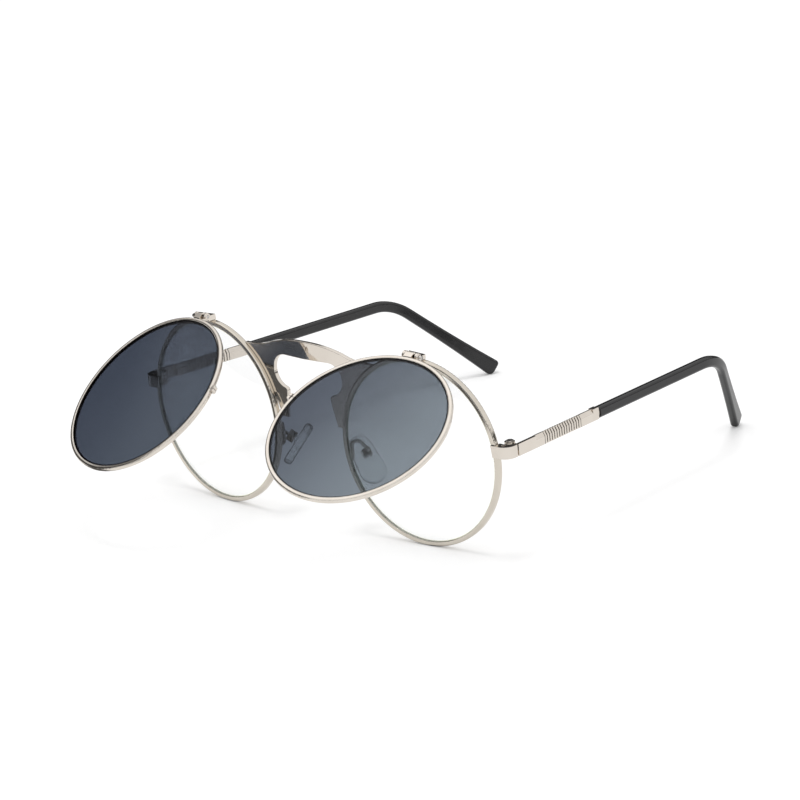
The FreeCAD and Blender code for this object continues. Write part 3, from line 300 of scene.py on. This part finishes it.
@lru_cache(maxsize=None)
def handling_marks() -> bpy.types.NodeTree:
    """Faint smears and hairlines that make a surface a little less glossy in places.

    Returns:
        The node group, with inputs Glossy, Dull and Scale and the outputs Roughness and Height.
    """
    made = GroupBuilder(
        "handling_marks",
        inputs={"Glossy": 0.08, "Dull": 0.16, "Scale": 90.0},
        outputs={"Roughness": SocketKind.VALUE, "Height": SocketKind.VALUE},
    )
    hairline_fineness = 70.0
    hairline_weight = 0.35
    hairline_stretch = (1.0, 0.12, 1.0)
    hairline_turn = (0.0, 0.3, 0.5)
    wiring = made.wiring
    place = wiring.place()
    smear_noise = wiring.noise(place, made.inputs["Scale"], detail=4.0)
    smear = wiring.smooth_step(smear_noise, low=0.4, high=0.75)
    stretched = wiring.add("ShaderNodeMapping")
    wiring.feed(stretched.inputs["Scale"], hairline_stretch)
    wiring.feed(stretched.inputs["Rotation"], hairline_turn)
    wiring.join(place, stretched.inputs["Vector"])
    fine_scale = wiring.math("MULTIPLY", made.inputs["Scale"], hairline_fineness)
    lines = wiring.noise(stretched.outputs["Vector"], fine_scale, detail=2.0)
    hairline = wiring.smooth_step(lines, low=0.62, high=0.72)
    marks = wiring.math("MULTIPLY_ADD", hairline, hairline_weight, smear, clamp=True)
    spread = wiring.math("SUBTRACT", made.inputs["Dull"], made.inputs["Glossy"])
    rough = wiring.math("MULTIPLY_ADD", marks, spread, made.inputs["Glossy"])
    wiring.join(rough, made.outputs["Roughness"])
    wiring.join(lines, made.outputs["Height"])
    return made.group


@lru_cache(maxsize=None)
def moulded_grain() -> bpy.types.NodeTree:
    """The fine pebbled skin that a mould leaves on plastic and silicone.

    Returns:
        The node group, with the input Scale and the output Height.
    """
    made = GroupBuilder("moulded_grain", inputs={"Scale": 5000.0}, outputs={"Height": SocketKind.VALUE})
    wiring = made.wiring
    cells = wiring.add("ShaderNodeTexVoronoi", feature="SMOOTH_F1")
    wiring.join(wiring.place(), cells.inputs["Vector"])
    wiring.join(made.inputs["Scale"], cells.inputs["Scale"])
    wiring.join(cells.outputs["Distance"], made.outputs["Height"])
    return made.group


@lru_cache(maxsize=None)
def painted_crevice_shade() -> bpy.types.NodeTree:
    """Painted shade: a dark line in grooves and where two pieces meet, where the surface is enclosed.

    Returns:
        The node group, with the input Reach, how far from a corner it spreads, and the output Share.
    """
    made = GroupBuilder("painted_crevice_shade", inputs={"Reach": 0.0004}, outputs={"Share": SocketKind.VALUE})
    wiring = made.wiring
    openness = wiring.add("ShaderNodeAmbientOcclusion", samples=8)
    wiring.join(made.inputs["Reach"], openness.inputs["Distance"])
    share = wiring.smooth_step(openness.outputs["AO"], low=0.85, high=0.35)
    wiring.join(share, made.outputs["Share"])
    return made.group


@lru_cache(maxsize=None)
def lens_zones() -> bpy.types.NodeTree:
    """The outermost ring of a round lens, where it goes into its rim, and a slow fade across it.

    Returns:
        The node group. Its inputs are Centre and Axis of the lens, the radii Start and Full of the
        ring's soft inner side, and Fade Way, the direction of the fade. Its outputs are Edge and Fade,
        the mask that carries painted light.
    """
    made = GroupBuilder(
        "lens_zones",
        inputs={"Centre": Vector((0.0, 0.0, 0.0)), "Axis": Vector((0.0, 1.0, 0.0)),
                "Start": 0.0234, "Full": 0.0236, "Fade Way": Vector((1.0, 0.0, 0.0))},
        outputs={"Edge": SocketKind.VALUE, "Fade": SocketKind.VALUE},
    )
    wiring = made.wiring
    offset = wiring.vector("SUBTRACT", wiring.place(), made.inputs["Centre"]).outputs["Vector"]
    across = wiring.vector("CROSS_PRODUCT", offset, made.inputs["Axis"]).outputs["Vector"]
    radius = wiring.vector("LENGTH", across).outputs["Value"]
    edge = wiring.smooth_step(radius, made.inputs["Start"], made.inputs["Full"])
    wiring.join(edge, made.outputs["Edge"])
    along = wiring.vector("DOT_PRODUCT", offset, made.inputs["Fade Way"]).outputs["Value"]
    far_side = wiring.math("MULTIPLY", made.inputs["Full"], -1.0)
    fade = wiring.smooth_step(along, far_side, made.inputs["Full"])
    wiring.join(fade, made.outputs["Fade"])
    return made.group


class Surface:
    """One material in the making: a shader, the shared effects that feed it, and its output."""

    def __init__(self, name: str) -> None:
        """Makes the material, with a plain shader as its surface.

        Args:
            name: The material's name.
        """
        self.material = bpy.data.materials.new(name)
        self.material.use_nodes = True
        self.wiring = Wiring(self.material.node_tree)
        self.shader = self.wiring.add("ShaderNodeBsdfPrincipled")
        self.output = self.wiring.add("ShaderNodeOutputMaterial")
        self.wiring.join(self.shader.outputs["BSDF"], self.output.inputs["Surface"])
        self.softened: Socket | None = None

    def set(self, **values: object) -> None:
        """Sets plain values on the shader's own sockets."""
        for keyword, value in values.items():
            self.shader.inputs[label(keyword)].default_value = value

    def effect(self, group: bpy.types.NodeTree, **values: object) -> bpy.types.bpy_prop_collection:
        """Places one shared effect.

        Args:
            group: The effect's node group.
            values: Its inputs.

        Returns:
            The effect's outputs.
        """
        node = self.wiring.add("ShaderNodeGroup")
        node.node_tree = group
        for keyword, value in values.items():
            node.inputs[label(keyword)].default_value = value
        return node.outputs

    def tone(self, tone: Colour, other: Colour, scale: float) -> Socket:
        """Lets the base colour drift between two tones.

        Args:
            tone: The one tone.
            other: The other tone.
            scale: How fine the drift is.

        Returns:
            The socket with the colour.
        """
        drift = self.effect(tone_drift(), Tone=opaque(tone), Other_Tone=opaque(other), Scale=scale)
        self.wiring.join(drift["Colour"], self.shader.inputs["Base Color"])
        return drift["Colour"]

    def tone_over(self, share: Socket, under: Socket, over: Colour) -> Socket:
        """Covers a share of the base colour with another tone.

        Args:
            share: How much is covered, from 0 to 1.
            under: The colour so far.
            over: The tone on top.

        Returns:
            The socket with the colour that comes out.
        """
        colour = self.wiring.mix(Mixed.COLOURS, share, under, opaque(over))
        self.wiring.join(colour, self.shader.inputs["Base Color"])
        return colour

    def marks(self, gloss: Span, scale: float) -> Socket:
        """Lets the roughness follow handling marks.

        Args:
            gloss: The roughness of the clean surface and of the dullest marks.
            scale: How fine the marks are.

        Returns:
            The socket with the marks' height.
        """
        glossy, dull = gloss
        marks = self.effect(handling_marks(), Glossy=glossy, Dull=dull, Scale=scale)
        self.wiring.join(marks["Roughness"], self.shader.inputs["Roughness"])
        return marks["Height"]

    def soften(self, radius: float) -> None:
        """Rounds the shading of the edges, as polishing does, under the bump that comes next.

        Args:
            radius: How far from an edge the rounding reaches.
        """
        node = self.wiring.add("ShaderNodeBevel", samples=6)
        self.wiring.feed(node.inputs["Radius"], radius)
        self.softened = node.outputs["Normal"]

    def bump(self, height: Socket, strength: float, depth: float) -> None:
        """Raises the surface by a height.

        Args:
            height: The socket with the height, from 0 to 1.
            strength: How much of the bump shows.
            depth: The depth that a height of 1 stands for.
        """
        node = self.wiring.add("ShaderNodeBump")
        if self.softened:
            self.wiring.join(self.softened, node.inputs["Normal"])
        self.wiring.feed(node.inputs["Strength"], strength)
        self.wiring.feed(node.inputs["Distance"], depth)
        self.wiring.join(height, node.inputs["Height"])
        self.wiring.join(node.outputs["Normal"], self.shader.inputs["Normal"])

    def show_instead(self, share: Socket, other: Socket) -> None:
        """Lets another shader show in place of the main one.

        Args:
            share: A mask of where, or for which rays, the other one shows.
            other: The other shader's output.
        """
        mix = self.wiring.add("ShaderNodeMixShader")
        for source, target in zip((share, self.shader.outputs["BSDF"], other), mix.inputs):
            self.wiring.join(source, target)
        self.wiring.join(mix.outputs["Shader"], self.output.inputs["Surface"])

    def clear_shadow(self, colour: Colour) -> None:
        """Lets light through glass to the table.

        Args:
            colour: The share of the light that comes through.
        """
        through = self.wiring.add("ShaderNodeBsdfTransparent")
        self.wiring.feed(through.inputs["Color"], opaque(colour))
        light = self.wiring.either_ray(Ray.SHADOW, Ray.SPREAD)
        self.show_instead(light, through.outputs["BSDF"])


@dataclass(frozen=True)
class MetalFinish:
    """Plated and polished metal, or plain steel.

    The gloss is the roughness of the clean metal and of its dullest marks. The edge radius is the
    rounding that polishing leaves, the line depth is that of the hairlines, and the crevice shade reach
    is how far the painted shade in a groove spreads from its corner.
    """

    name: str
    tone: Colour
    other_tone: Colour
    gloss: Span = (0.05, 0.12)
    edge_radius: float = 0.0001
    line_depth: float = 0.000004
    line_strength: float = 0.15
    tone_scale: float = 140.0
    mark_scale: float = 90.0
    crevice_shade_tone: Colour = (0.05, 0.045, 0.04)
    crevice_shade_reach: float = 0.0004

    def material(self) -> bpy.types.Material:
        """Makes the material.

        Returns:
            The new material.
        """
        surface = Surface(self.name)
        surface.set(Metallic=1.0)
        surface.soften(self.edge_radius)
        plating = surface.tone(self.tone, self.other_tone, self.tone_scale)
        # Painted shade in grooves and where pieces meet, by how enclosed the surface is.
        shade_in_crevices = surface.effect(painted_crevice_shade(), Reach=self.crevice_shade_reach)
        surface.tone_over(shade_in_crevices["Share"], plating, self.crevice_shade_tone)
        lines = surface.marks(self.gloss, self.mark_scale)
        surface.bump(lines, self.line_strength, self.line_depth)
        return surface.material


@dataclass(frozen=True)
class LensPlace:
    """Where a round lens sits: its middle, the axis through it and the radius of the rim's opening."""

    centre: Vector
    axis: Vector
    opening: float

    @classmethod
    def of(cls, lens: str, rim: str) -> "LensPlace":
        """Reads the place from the lens and its rim.

        Args:
            lens: The lens's node.
            rim: The node of the rim that holds it.

        Returns:
            The lens's place.
        """
        points = cls.corners(lens)
        axes = np.linalg.eigh(np.cov(points.T))[1]
        thin_way = axes[:, 0]
        along = points @ axes
        centre = axes @ (along.min(axis=0) + along.max(axis=0)) / 2
        ring = cls.corners(rim) - centre
        opening = np.linalg.norm(np.cross(ring, thin_way), axis=1).min()
        return cls(Vector(centre), Vector(thin_way), float(opening))

    @staticmethod
    def corners(node: str) -> np.ndarray:
        """The corners of a node's mesh, one in each row."""
        return np.array([corner.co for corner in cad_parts[node].data.vertices])


@dataclass(frozen=True)
class GlassFinish:
    """A lens material that light goes through, darker along the rim.

    The tone drifts to the other tone in places. Along the painted light way it turns to the painted
    light tone, which is painted light for the brighter light seen through that side of the lens. The
    edge tone has a ring of the edge width at the rim, and comes in over the soft share of it. The shadow
    is the share of the light that reaches the table. The ior of the tints is lower than a real lens has,
    because the photograph shows hardly any reflection on them.
    """

    name: str
    tone: Colour
    other_tone: Colour
    painted_light_tone: Colour
    edge_tone: Colour
    edge_width: float
    ior: float
    shadow: Colour
    edge_soft_share: float = 1 / 3
    painted_light_way: Point = (0.95, -0.2, -0.11)
    gloss: Span = (0.0, 0.012)
    tone_scale: float = 40.0
    mark_scale: float = 45.0

    def material(self, place: LensPlace) -> bpy.types.Material:
        """Makes the material of one lens.

        Args:
            place: Where the lens sits.

        Returns:
            The new material.
        """
        surface = Surface(self.name)
        surface.set(Transmission_Weight=1.0, IOR=self.ior)
        glass = surface.tone(self.tone, self.other_tone, self.tone_scale)
        start = place.opening - self.edge_width
        full = start + self.edge_width * self.edge_soft_share
        zones = surface.effect(lens_zones(), Centre=place.centre, Axis=place.axis, Start=start, Full=full,
                               Fade_Way=self.painted_light_way)
        # Painted light: the tone turns lighter along the painted light way.
        with_painted_light = surface.tone_over(zones["Fade"], glass, self.painted_light_tone)
        surface.tone_over(zones["Edge"], with_painted_light, self.edge_tone)
        surface.marks(self.gloss, self.mark_scale)
        surface.clear_shadow(self.shadow)
        return surface.material


@dataclass(frozen=True)
class PlasticFinish:
    """Moulded black plastic with a soft gloss and a fine grain.

    The gloss is the roughness of the clean plastic and of its dullest marks.
    """

    name: str
    tone: Colour
    other_tone: Colour
    gloss: Span = (0.12, 0.22)
    tone_scale: float = 160.0
    mark_scale: float = 110.0
    grain_scale: float = 6000.0
    grain_strength: float = 0.12
    grain_depth: float = 0.00002

    def material(self) -> bpy.types.Material:
        """Makes the material.

        Returns:
            The new material.
        """
        surface = Surface(self.name)
        surface.tone(self.tone, self.other_tone, self.tone_scale)
        surface.marks(self.gloss, self.mark_scale)
        grain = surface.effect(moulded_grain(), Scale=self.grain_scale)
        surface.bump(grain["Height"], self.grain_strength, self.grain_depth)
        return surface.material


@dataclass(frozen=True)
class SiliconeFinish:
    """Clear silicone with a slightly clouded skin and painted shade along its outlines.

    The edge slant is how far a face is turned away where the painted shade of the outline begins and
    where it is full.
    The shadow is the share of the light that reaches the table.
    """

    name: str
    tone: Colour
    other_tone: Colour
    edge_tone: Colour
    shadow: Colour
    edge_slant: Span = (0.3, 0.75)
    ior: float = 1.41
    gloss: Span = (0.05, 0.12)
    tone_scale: float = 200.0
    mark_scale: float = 150.0
    grain_scale: float = 7000.0
    grain_strength: float = 0.08
    grain_depth: float = 0.00002

    def material(self) -> bpy.types.Material:
        """Makes the material.

        Returns:
            The new material.
        """
        surface = Surface(self.name)
        surface.set(Transmission_Weight=1.0, IOR=self.ior)
        skin = surface.tone(self.tone, self.other_tone, self.tone_scale)
        # Painted shade: the outline darkens where a face turns away from the view, for how the clear
        # silicone bends light at its edges.
        slant = surface.wiring.add("ShaderNodeLayerWeight").outputs["Facing"]
        outline = surface.wiring.smooth_step(slant, *self.edge_slant)
        surface.tone_over(outline, skin, self.edge_tone)
        surface.marks(self.gloss, self.mark_scale)
        grain = surface.effect(moulded_grain(), Scale=self.grain_scale)
        surface.bump(grain["Height"], self.grain_strength, self.grain_depth)
        surface.clear_shadow(self.shadow)
        return surface.material


class FinishKind(Enum):
    """Every finish of the glasses."""

    METAL = MetalFinish(
        name="polished_nickel",
        tone=(0.77, 0.71, 0.64),
        other_tone=(0.73, 0.67, 0.60),
    )
    WIRE = MetalFinish(
        name="polished_wire",
        tone=(0.79, 0.73, 0.66),
        other_tone=(0.75, 0.69, 0.62),
        edge_radius=0.0006,
    )
    # Painted shade: a darker copy of the polished metal for the main rims, for the darker lens edges they
    # mirror.
    EYEWIRE = MetalFinish(
        name="polished_eyewire_painted_shade",
        tone=(0.72, 0.665, 0.585),
        other_tone=(0.68, 0.625, 0.545),
        edge_radius=0.0003,
    )
    # Painted shade: a darker copy of the polished metal for the pad arms, for the darker things they
    # mirror.
    ARM = MetalFinish(
        name="soldered_arm_painted_shade",
        tone=(0.50, 0.465, 0.43),
        other_tone=(0.42, 0.39, 0.36),
        gloss=(0.06, 0.14),
    )
    SCREW = MetalFinish(
        name="screw_steel",
        tone=(0.70, 0.67, 0.64),
        other_tone=(0.60, 0.575, 0.55),
        gloss=(0.14, 0.28),
        edge_radius=0.00008,
        line_depth=0.00001,
    )
    CORE = MetalFinish(
        name="core_wire",
        tone=(0.56, 0.56, 0.57),
        other_tone=(0.5, 0.5, 0.51),
        gloss=(0.22, 0.36),
        line_depth=0.00001,
    )
    CLEAR = GlassFinish(
        name="clear_lens",
        tone=(1.0, 1.0, 0.995),
        other_tone=(0.99, 0.995, 0.985),
        painted_light_tone=WHITE,
        edge_tone=(0.82, 0.84, 0.64),
        edge_width=0.00025,
        ior=1.5,
        shadow=(0.99, 0.99, 0.985),
    )
    # The two tints are one grey tint in lit and shaded copies: their different tones and painted light
    # tones are painted light, the left one lighter.
    TINT_LEFT = GlassFinish(
        name="grey_tint_left_painted_light",
        tone=(0.080, 0.095, 0.124),
        other_tone=(0.076, 0.090, 0.119),
        painted_light_tone=(0.205, 0.238, 0.272),
        edge_tone=(0.004, 0.004, 0.005),
        edge_width=0.0005,
        ior=1.2,
        shadow=(0.95, 0.953, 0.958),
    )
    TINT_RIGHT = GlassFinish(
        name="grey_tint_right_painted_light",
        tone=(0.048, 0.058, 0.082),
        other_tone=(0.045, 0.055, 0.078),
        painted_light_tone=(0.072, 0.087, 0.113),
        edge_tone=(0.003, 0.003, 0.004),
        edge_width=0.0006,
        ior=1.12,
        shadow=(0.95, 0.953, 0.958),
    )
    TIP = PlasticFinish(
        name="black_tip",
        tone=(0.012, 0.012, 0.013),
        other_tone=(0.008, 0.008, 0.009),
    )
    PAD = SiliconeFinish(
        name="clear_silicone",
        tone=(0.97, 0.975, 0.97),
        other_tone=(0.95, 0.96, 0.955),
        edge_tone=(0.06, 0.06, 0.065),
        shadow=(0.95, 0.955, 0.955),
    )


@lru_cache(maxsize=None)
def material_of(kind: FinishKind) -> bpy.types.Material:
    """The material of a finish, which is made once."""
    return kind.value.material()


def put_on(node: str, material: bpy.types.Material) -> None:
    """Gives one CAD node a material, and reports it.

    Args:
        node: The node's name.
        material: The material for all its faces.
    """
    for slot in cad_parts[node].material_slots:
        slot.material = material
    log.info("%s: %s", node, material.name)


def dress(node: str, kind: FinishKind) -> None:
    """Gives one CAD node its finish."""
    put_on(node, material_of(kind))


def dress_lens(lens: str, rim: str, kind: FinishKind) -> None:
    """Gives one lens its glass, with the edge where its rim holds it."""
    put_on(lens, kind.value.material(LensPlace.of(lens, rim)))


@dataclass
class Front:
    """The main front: bridge, rims, clear lenses, end pieces, saddles and pad arms."""

    arm_nodes: tuple[str, ...] = ("pad_arm", "pad_box")
    metal_nodes: tuple[str, ...] = ("rim_lock", "end_piece", "flip_base")
    screw_nodes: tuple[str, ...] = ("rim_screw", "temple_screw", "flip_pin", "pad_screw")

    def dress(self) -> None:
        """Gives every node of the front its finish."""
        dress("bridge_plate", FinishKind.METAL)
        for side in Side:
            dress(side.node("rim"), FinishKind.EYEWIRE)
            for piece in self.arm_nodes:
                dress(side.node(piece), FinishKind.ARM)
            for piece in self.metal_nodes:
                dress(side.node(piece), FinishKind.METAL)
            for piece in self.screw_nodes:
                dress(side.node(piece), FinishKind.SCREW)
            dress_lens(side.node("clear_lens"), side.node("rim"), FinishKind.CLEAR)


@dataclass
class FlipLens:
    """One tinted lens in its rim, with the hinge leaf and the lock."""

    side: Side
    metal_nodes: tuple[str, ...] = ("flip_lock", "flip_leaf")

    def dress(self) -> None:
        """Gives every node of the flip lens its finish."""
        rim = self.side.node("flip_rim")
        dress(rim, FinishKind.WIRE)
        for piece in self.metal_nodes:
            dress(self.side.node(piece), FinishKind.METAL)
        dress(self.side.node("flip_screw"), FinishKind.SCREW)
        tint = FinishKind[f"TINT_{self.side.name}"]
        dress_lens(self.side.node("tinted_lens"), rim, tint)


@dataclass
class Temple:
    """One folding temple: metal bar, wire core and plastic tip."""

    side: Side

    def dress(self) -> None:
        """Gives every node of the temple its finish."""
        dress(self.side.node("temple_bar"), FinishKind.METAL)
        dress(self.side.node("temple_core"), FinishKind.CORE)
        dress(self.side.node("temple_tip"), FinishKind.TIP)


@dataclass
class NosePad:
    """One clear nose pad."""

    side: Side

    def dress(self) -> None:
        """Gives the pad its finish."""
        dress(self.side.node("nose_pad"), FinishKind.PAD)


@dataclass
class Table:
    """The white table, with two dark cards on it that only polished metal mirrors.

    The cards lie where the photograph's bridge and rims mirror something dark. One is a wedge that
    opens from a corner, between two directions from -X towards -Y. The other is a round spot. A span
    gives where the soft side of a card begins and ends. The glow makes the lit table plain white to
    the camera, and lights nothing.
    """

    half_width: float = 6.0
    tone: Colour = (0.94, 0.94, 0.94)
    glow: float = 0.13
    card_level: float = 0.11
    wedge_corner: Span = (0.0, -0.031)
    wedge_start: Span = (0.045, 0.055)
    wedge_near_degrees: Span = (24.0, 30.5)
    wedge_far_degrees: Span = (42.0, 48.0)
    spot_place: Point = (-0.025, -0.137, 0.0)
    spot_radius: Span = (0.032, 0.020)

    def build(self) -> None:
        """Makes the table."""
        half = self.half_width
        mesh = bpy.data.meshes.new("table")
        corners = [(-half, -half, 0.0), (half, -half, 0.0), (half, half, 0.0), (-half, half, 0.0)]
        mesh.from_pydata(corners, [], [(0, 1, 2, 3)])
        mesh.materials.append(self.material())
        table = bpy.data.objects.new("table", mesh)
        bpy.context.scene.collection.objects.link(table)
        log.info("table: %s", mesh.materials[0].name)

    def material(self) -> bpy.types.Material:
        """Makes the table's material, which takes shadows and is white where no shadow falls.

        Returns:
            The new material.
        """
        surface = Surface("white_table")
        surface.set(Base_Color=opaque(self.tone), Roughness=1.0, Specular_IOR_Level=0.0)
        surface.set(Emission_Color=opaque(WHITE))
        wiring = surface.wiring
        seen = wiring.either_ray(Ray.CAMERA, Ray.THROUGH)
        glow = wiring.math("MULTIPLY", seen, self.glow)
        wiring.join(glow, surface.shader.inputs["Emission Strength"])
        card = wiring.add("ShaderNodeEmission")
        wiring.feed(card.inputs["Strength"], self.card_level)
        mirrored = wiring.math("SUBTRACT", wiring.ray(Ray.MIRRORED), wiring.ray(Ray.THROUGH), clamp=True)
        cards = wiring.math("MAXIMUM", self.wedge(wiring), self.spot(wiring))
        surface.show_instead(wiring.math("MULTIPLY", mirrored, cards), card.outputs["Emission"])
        return surface.material

    def wedge(self, wiring: Wiring) -> Socket:
        """Marks the part of the table that the wedge covers.

        Args:
            wiring: The material's tree.

        Returns:
            The socket with the mask.
        """
        place = wiring.add("ShaderNodeSeparateXYZ")
        wiring.join(wiring.place(), place.inputs["Vector"])
        corner_x, corner_y = self.wedge_corner
        out = wiring.math("SUBTRACT", corner_x, place.outputs["X"])
        ahead = wiring.math("SUBTRACT", corner_y, place.outputs["Y"])
        turn = wiring.math("DEGREES", wiring.math("ARCTAN2", ahead, out))
        inside = wiring.smooth_step(turn, *self.wedge_near_degrees)
        beyond = wiring.smooth_step(turn, *self.wedge_far_degrees)
        between = wiring.math("SUBTRACT", inside, beyond, clamp=True)
        return wiring.math("MULTIPLY", between, wiring.smooth_step(out, *self.wedge_start))

    def spot(self, wiring: Wiring) -> Socket:
        """Marks the part of the table that the spot covers."""
        distance = wiring.vector("DISTANCE", wiring.place(), self.spot_place).outputs["Value"]
        return wiring.smooth_step(distance, *self.spot_radius)


@dataclass(frozen=True)
class Panel:
    """A darker or brighter part of the room, which polished surfaces and lenses mirror.

    It lies round a compass direction from +X towards +Y and a height over the horizon, has its full
    level up to the inner angle and fades out at the outer angle, all in degrees.
    """

    compass: float
    height: float
    inner: float
    outer: float
    level: float = 0.05

    def cover(self, wiring: Wiring, way: Socket, behind: Socket) -> Socket:
        """Lays the panel over what is behind it.

        Args:
            wiring: The room's tree.
            way: The direction that is looked in.
            behind: The level without the panel.

        Returns:
            The socket with the level with it.
        """
        middle = direction(self.compass, self.height)
        facing = wiring.vector("DOT_PRODUCT", way, middle).outputs["Value"]
        edge = math.cos(math.radians(self.outer))
        full = math.cos(math.radians(self.inner))
        inside = wiring.smooth_step(facing, edge, full)
        return wiring.mix(Mixed.VALUES, inside, behind, self.level)


@dataclass
class Room:
    """The even white light round the table, and the darker room that only polished surfaces show."""

    light: float = 0.82
    backdrop: float = 1.0
    mirrored_level: float = 0.92
    wall_level: float = 0.1
    wall_top_degrees: Span = (5.0, 10.0)
    panels: tuple[Panel, ...] = (
        Panel(compass=175.0, height=70.0, inner=12.0, outer=30.0, level=1.2),
        Panel(compass=105.0, height=5.0, inner=14.0, outer=32.0),
        Panel(compass=135.0, height=10.0, inner=14.0, outer=22.0),
        Panel(compass=160.0, height=10.0, inner=16.0, outer=24.0),
        Panel(compass=186.0, height=10.0, inner=20.0, outer=28.0),
        Panel(compass=214.0, height=10.0, inner=25.0, outer=33.0),
    )

    def build(self) -> None:
        """Makes the room as the scene's world."""
        world = bpy.data.worlds.new("studio")
        bpy.context.scene.world = world
        world.use_nodes = True
        # The level depends on the kind of ray, so the room isn't sampled as a lamp is.
        world.cycles.sampling_method = "NONE"
        wiring = Wiring(world.node_tree)
        unseen = wiring.mix(Mixed.VALUES, wiring.ray(Ray.MIRRORED), self.light, self.mirrored(wiring))
        seen = wiring.either_ray(Ray.CAMERA, Ray.THROUGH)
        strength = wiring.mix(Mixed.VALUES, seen, unseen, self.backdrop)
        background = wiring.add("ShaderNodeBackground")
        wiring.feed(background.inputs["Color"], opaque(WHITE))
        wiring.join(strength, background.inputs["Strength"])
        output = wiring.add("ShaderNodeOutputWorld")
        wiring.join(background.outputs["Background"], output.inputs["Surface"])
        log.info("room: %d panels", len(self.panels))

    def mirrored(self, wiring: Wiring) -> Socket:
        """Works out what polished surfaces show of the room: a low dark wall, the panels and white.

        Args:
            wiring: The room's tree.

        Returns:
            The socket with the level in each direction.
        """
        way = wiring.add("ShaderNodeTexCoord").outputs["Generated"]
        parts = wiring.add("ShaderNodeSeparateXYZ")
        wiring.join(way, parts.inputs["Vector"])
        wall_top = [math.sin(math.radians(angle)) for angle in self.wall_top_degrees]
        above = wiring.smooth_step(parts.outputs["Z"], *wall_top)
        level = wiring.mix(Mixed.VALUES, above, self.wall_level, self.mirrored_level)
        for panel in self.panels:
            level = panel.cover(wiring, way, level)
        return level


@dataclass
class SoftLamp:
    """One wide lamp far over the table, for the soft shadows where the glasses stand."""

    power: float = 19.0
    width: float = 0.8
    place: Point = (0.05, -0.05, 3.0)

    def build(self) -> None:
        """Hangs the lamp, turned to the middle of the table."""
        light = bpy.data.lights.new("soft_lamp", "AREA")
        light.energy = self.power
        light.size = self.width
        lamp = bpy.data.objects.new("soft_lamp", light)
        lamp.location = self.place
        lamp.rotation_euler = (-Vector(self.place)).to_track_quat("-Z", "Y").to_euler()
        # Polished metal mirrors the room and the table only.
        lamp.visible_glossy = False
        bpy.context.scene.collection.objects.link(lamp)
        log.info("soft_lamp: %.0f W", self.power)


@dataclass
class PhotoCamera:
    """The camera at the photograph's place, with the photograph's frame."""

    place: Point = (0.823155, -0.832615, 0.393975)
    azimuth_degrees: float = 44.8393
    elevation_degrees: float = 17.5516
    roll_degrees: float = -5.4290
    focal_pixels: float = 4542.227
    image_pixels: float = 800.0
    farthest: float = 100.0

    def build(self) -> None:
        """Sets the camera up, and makes it the scene's camera."""
        camera = bpy.data.cameras.new("photo_camera")
        camera.lens = camera.sensor_width * self.focal_pixels / self.image_pixels
        camera.clip_end = self.farthest
        stand = bpy.data.objects.new("photo_camera", camera)
        stand.matrix_world = Matrix.Translation(self.place) @ self.turn()
        bpy.context.scene.collection.objects.link(stand)
        bpy.context.scene.camera = stand
        log.info("photo_camera: %.0f mm", camera.lens)

    def turn(self) -> Matrix:
        """Works out how the camera is turned, from azimuth, elevation and roll.

        Returns:
            The matrix that turns the camera.
        """
        quarter = 90.0
        back = direction(self.azimuth_degrees - quarter, self.elevation_degrees)
        roll = Matrix.Rotation(math.radians(self.roll_degrees), 3, back)
        right = roll @ direction(self.azimuth_degrees, 0.0)
        up = back.cross(right)
        return Matrix((right, up, back)).transposed().to_4x4()


@dataclass
class Studio:
    """What stands round the glasses: table, room, lamp and camera."""

    table: Table = field(default_factory=Table)
    room: Room = field(default_factory=Room)
    lamp: SoftLamp = field(default_factory=SoftLamp)
    camera: PhotoCamera = field(default_factory=PhotoCamera)

    def build(self) -> None:
        """Makes the pieces of the studio."""
        bpy.context.scene.view_settings.view_transform = "Standard"
        for piece in (self.table, self.room, self.lamp, self.camera):
            piece.build()


def main() -> None:
    """Dresses the sub-assemblies in order, and builds the studio round them."""
    logging.basicConfig(level=logging.INFO, format="%(name)s %(message)s")
    Front().dress()
    for side in Side:
        FlipLens(side).dress()
        Temple(side).dress()
        NosePad(side).dress()
    Studio().build()


if __name__ == "__main__":
    main()
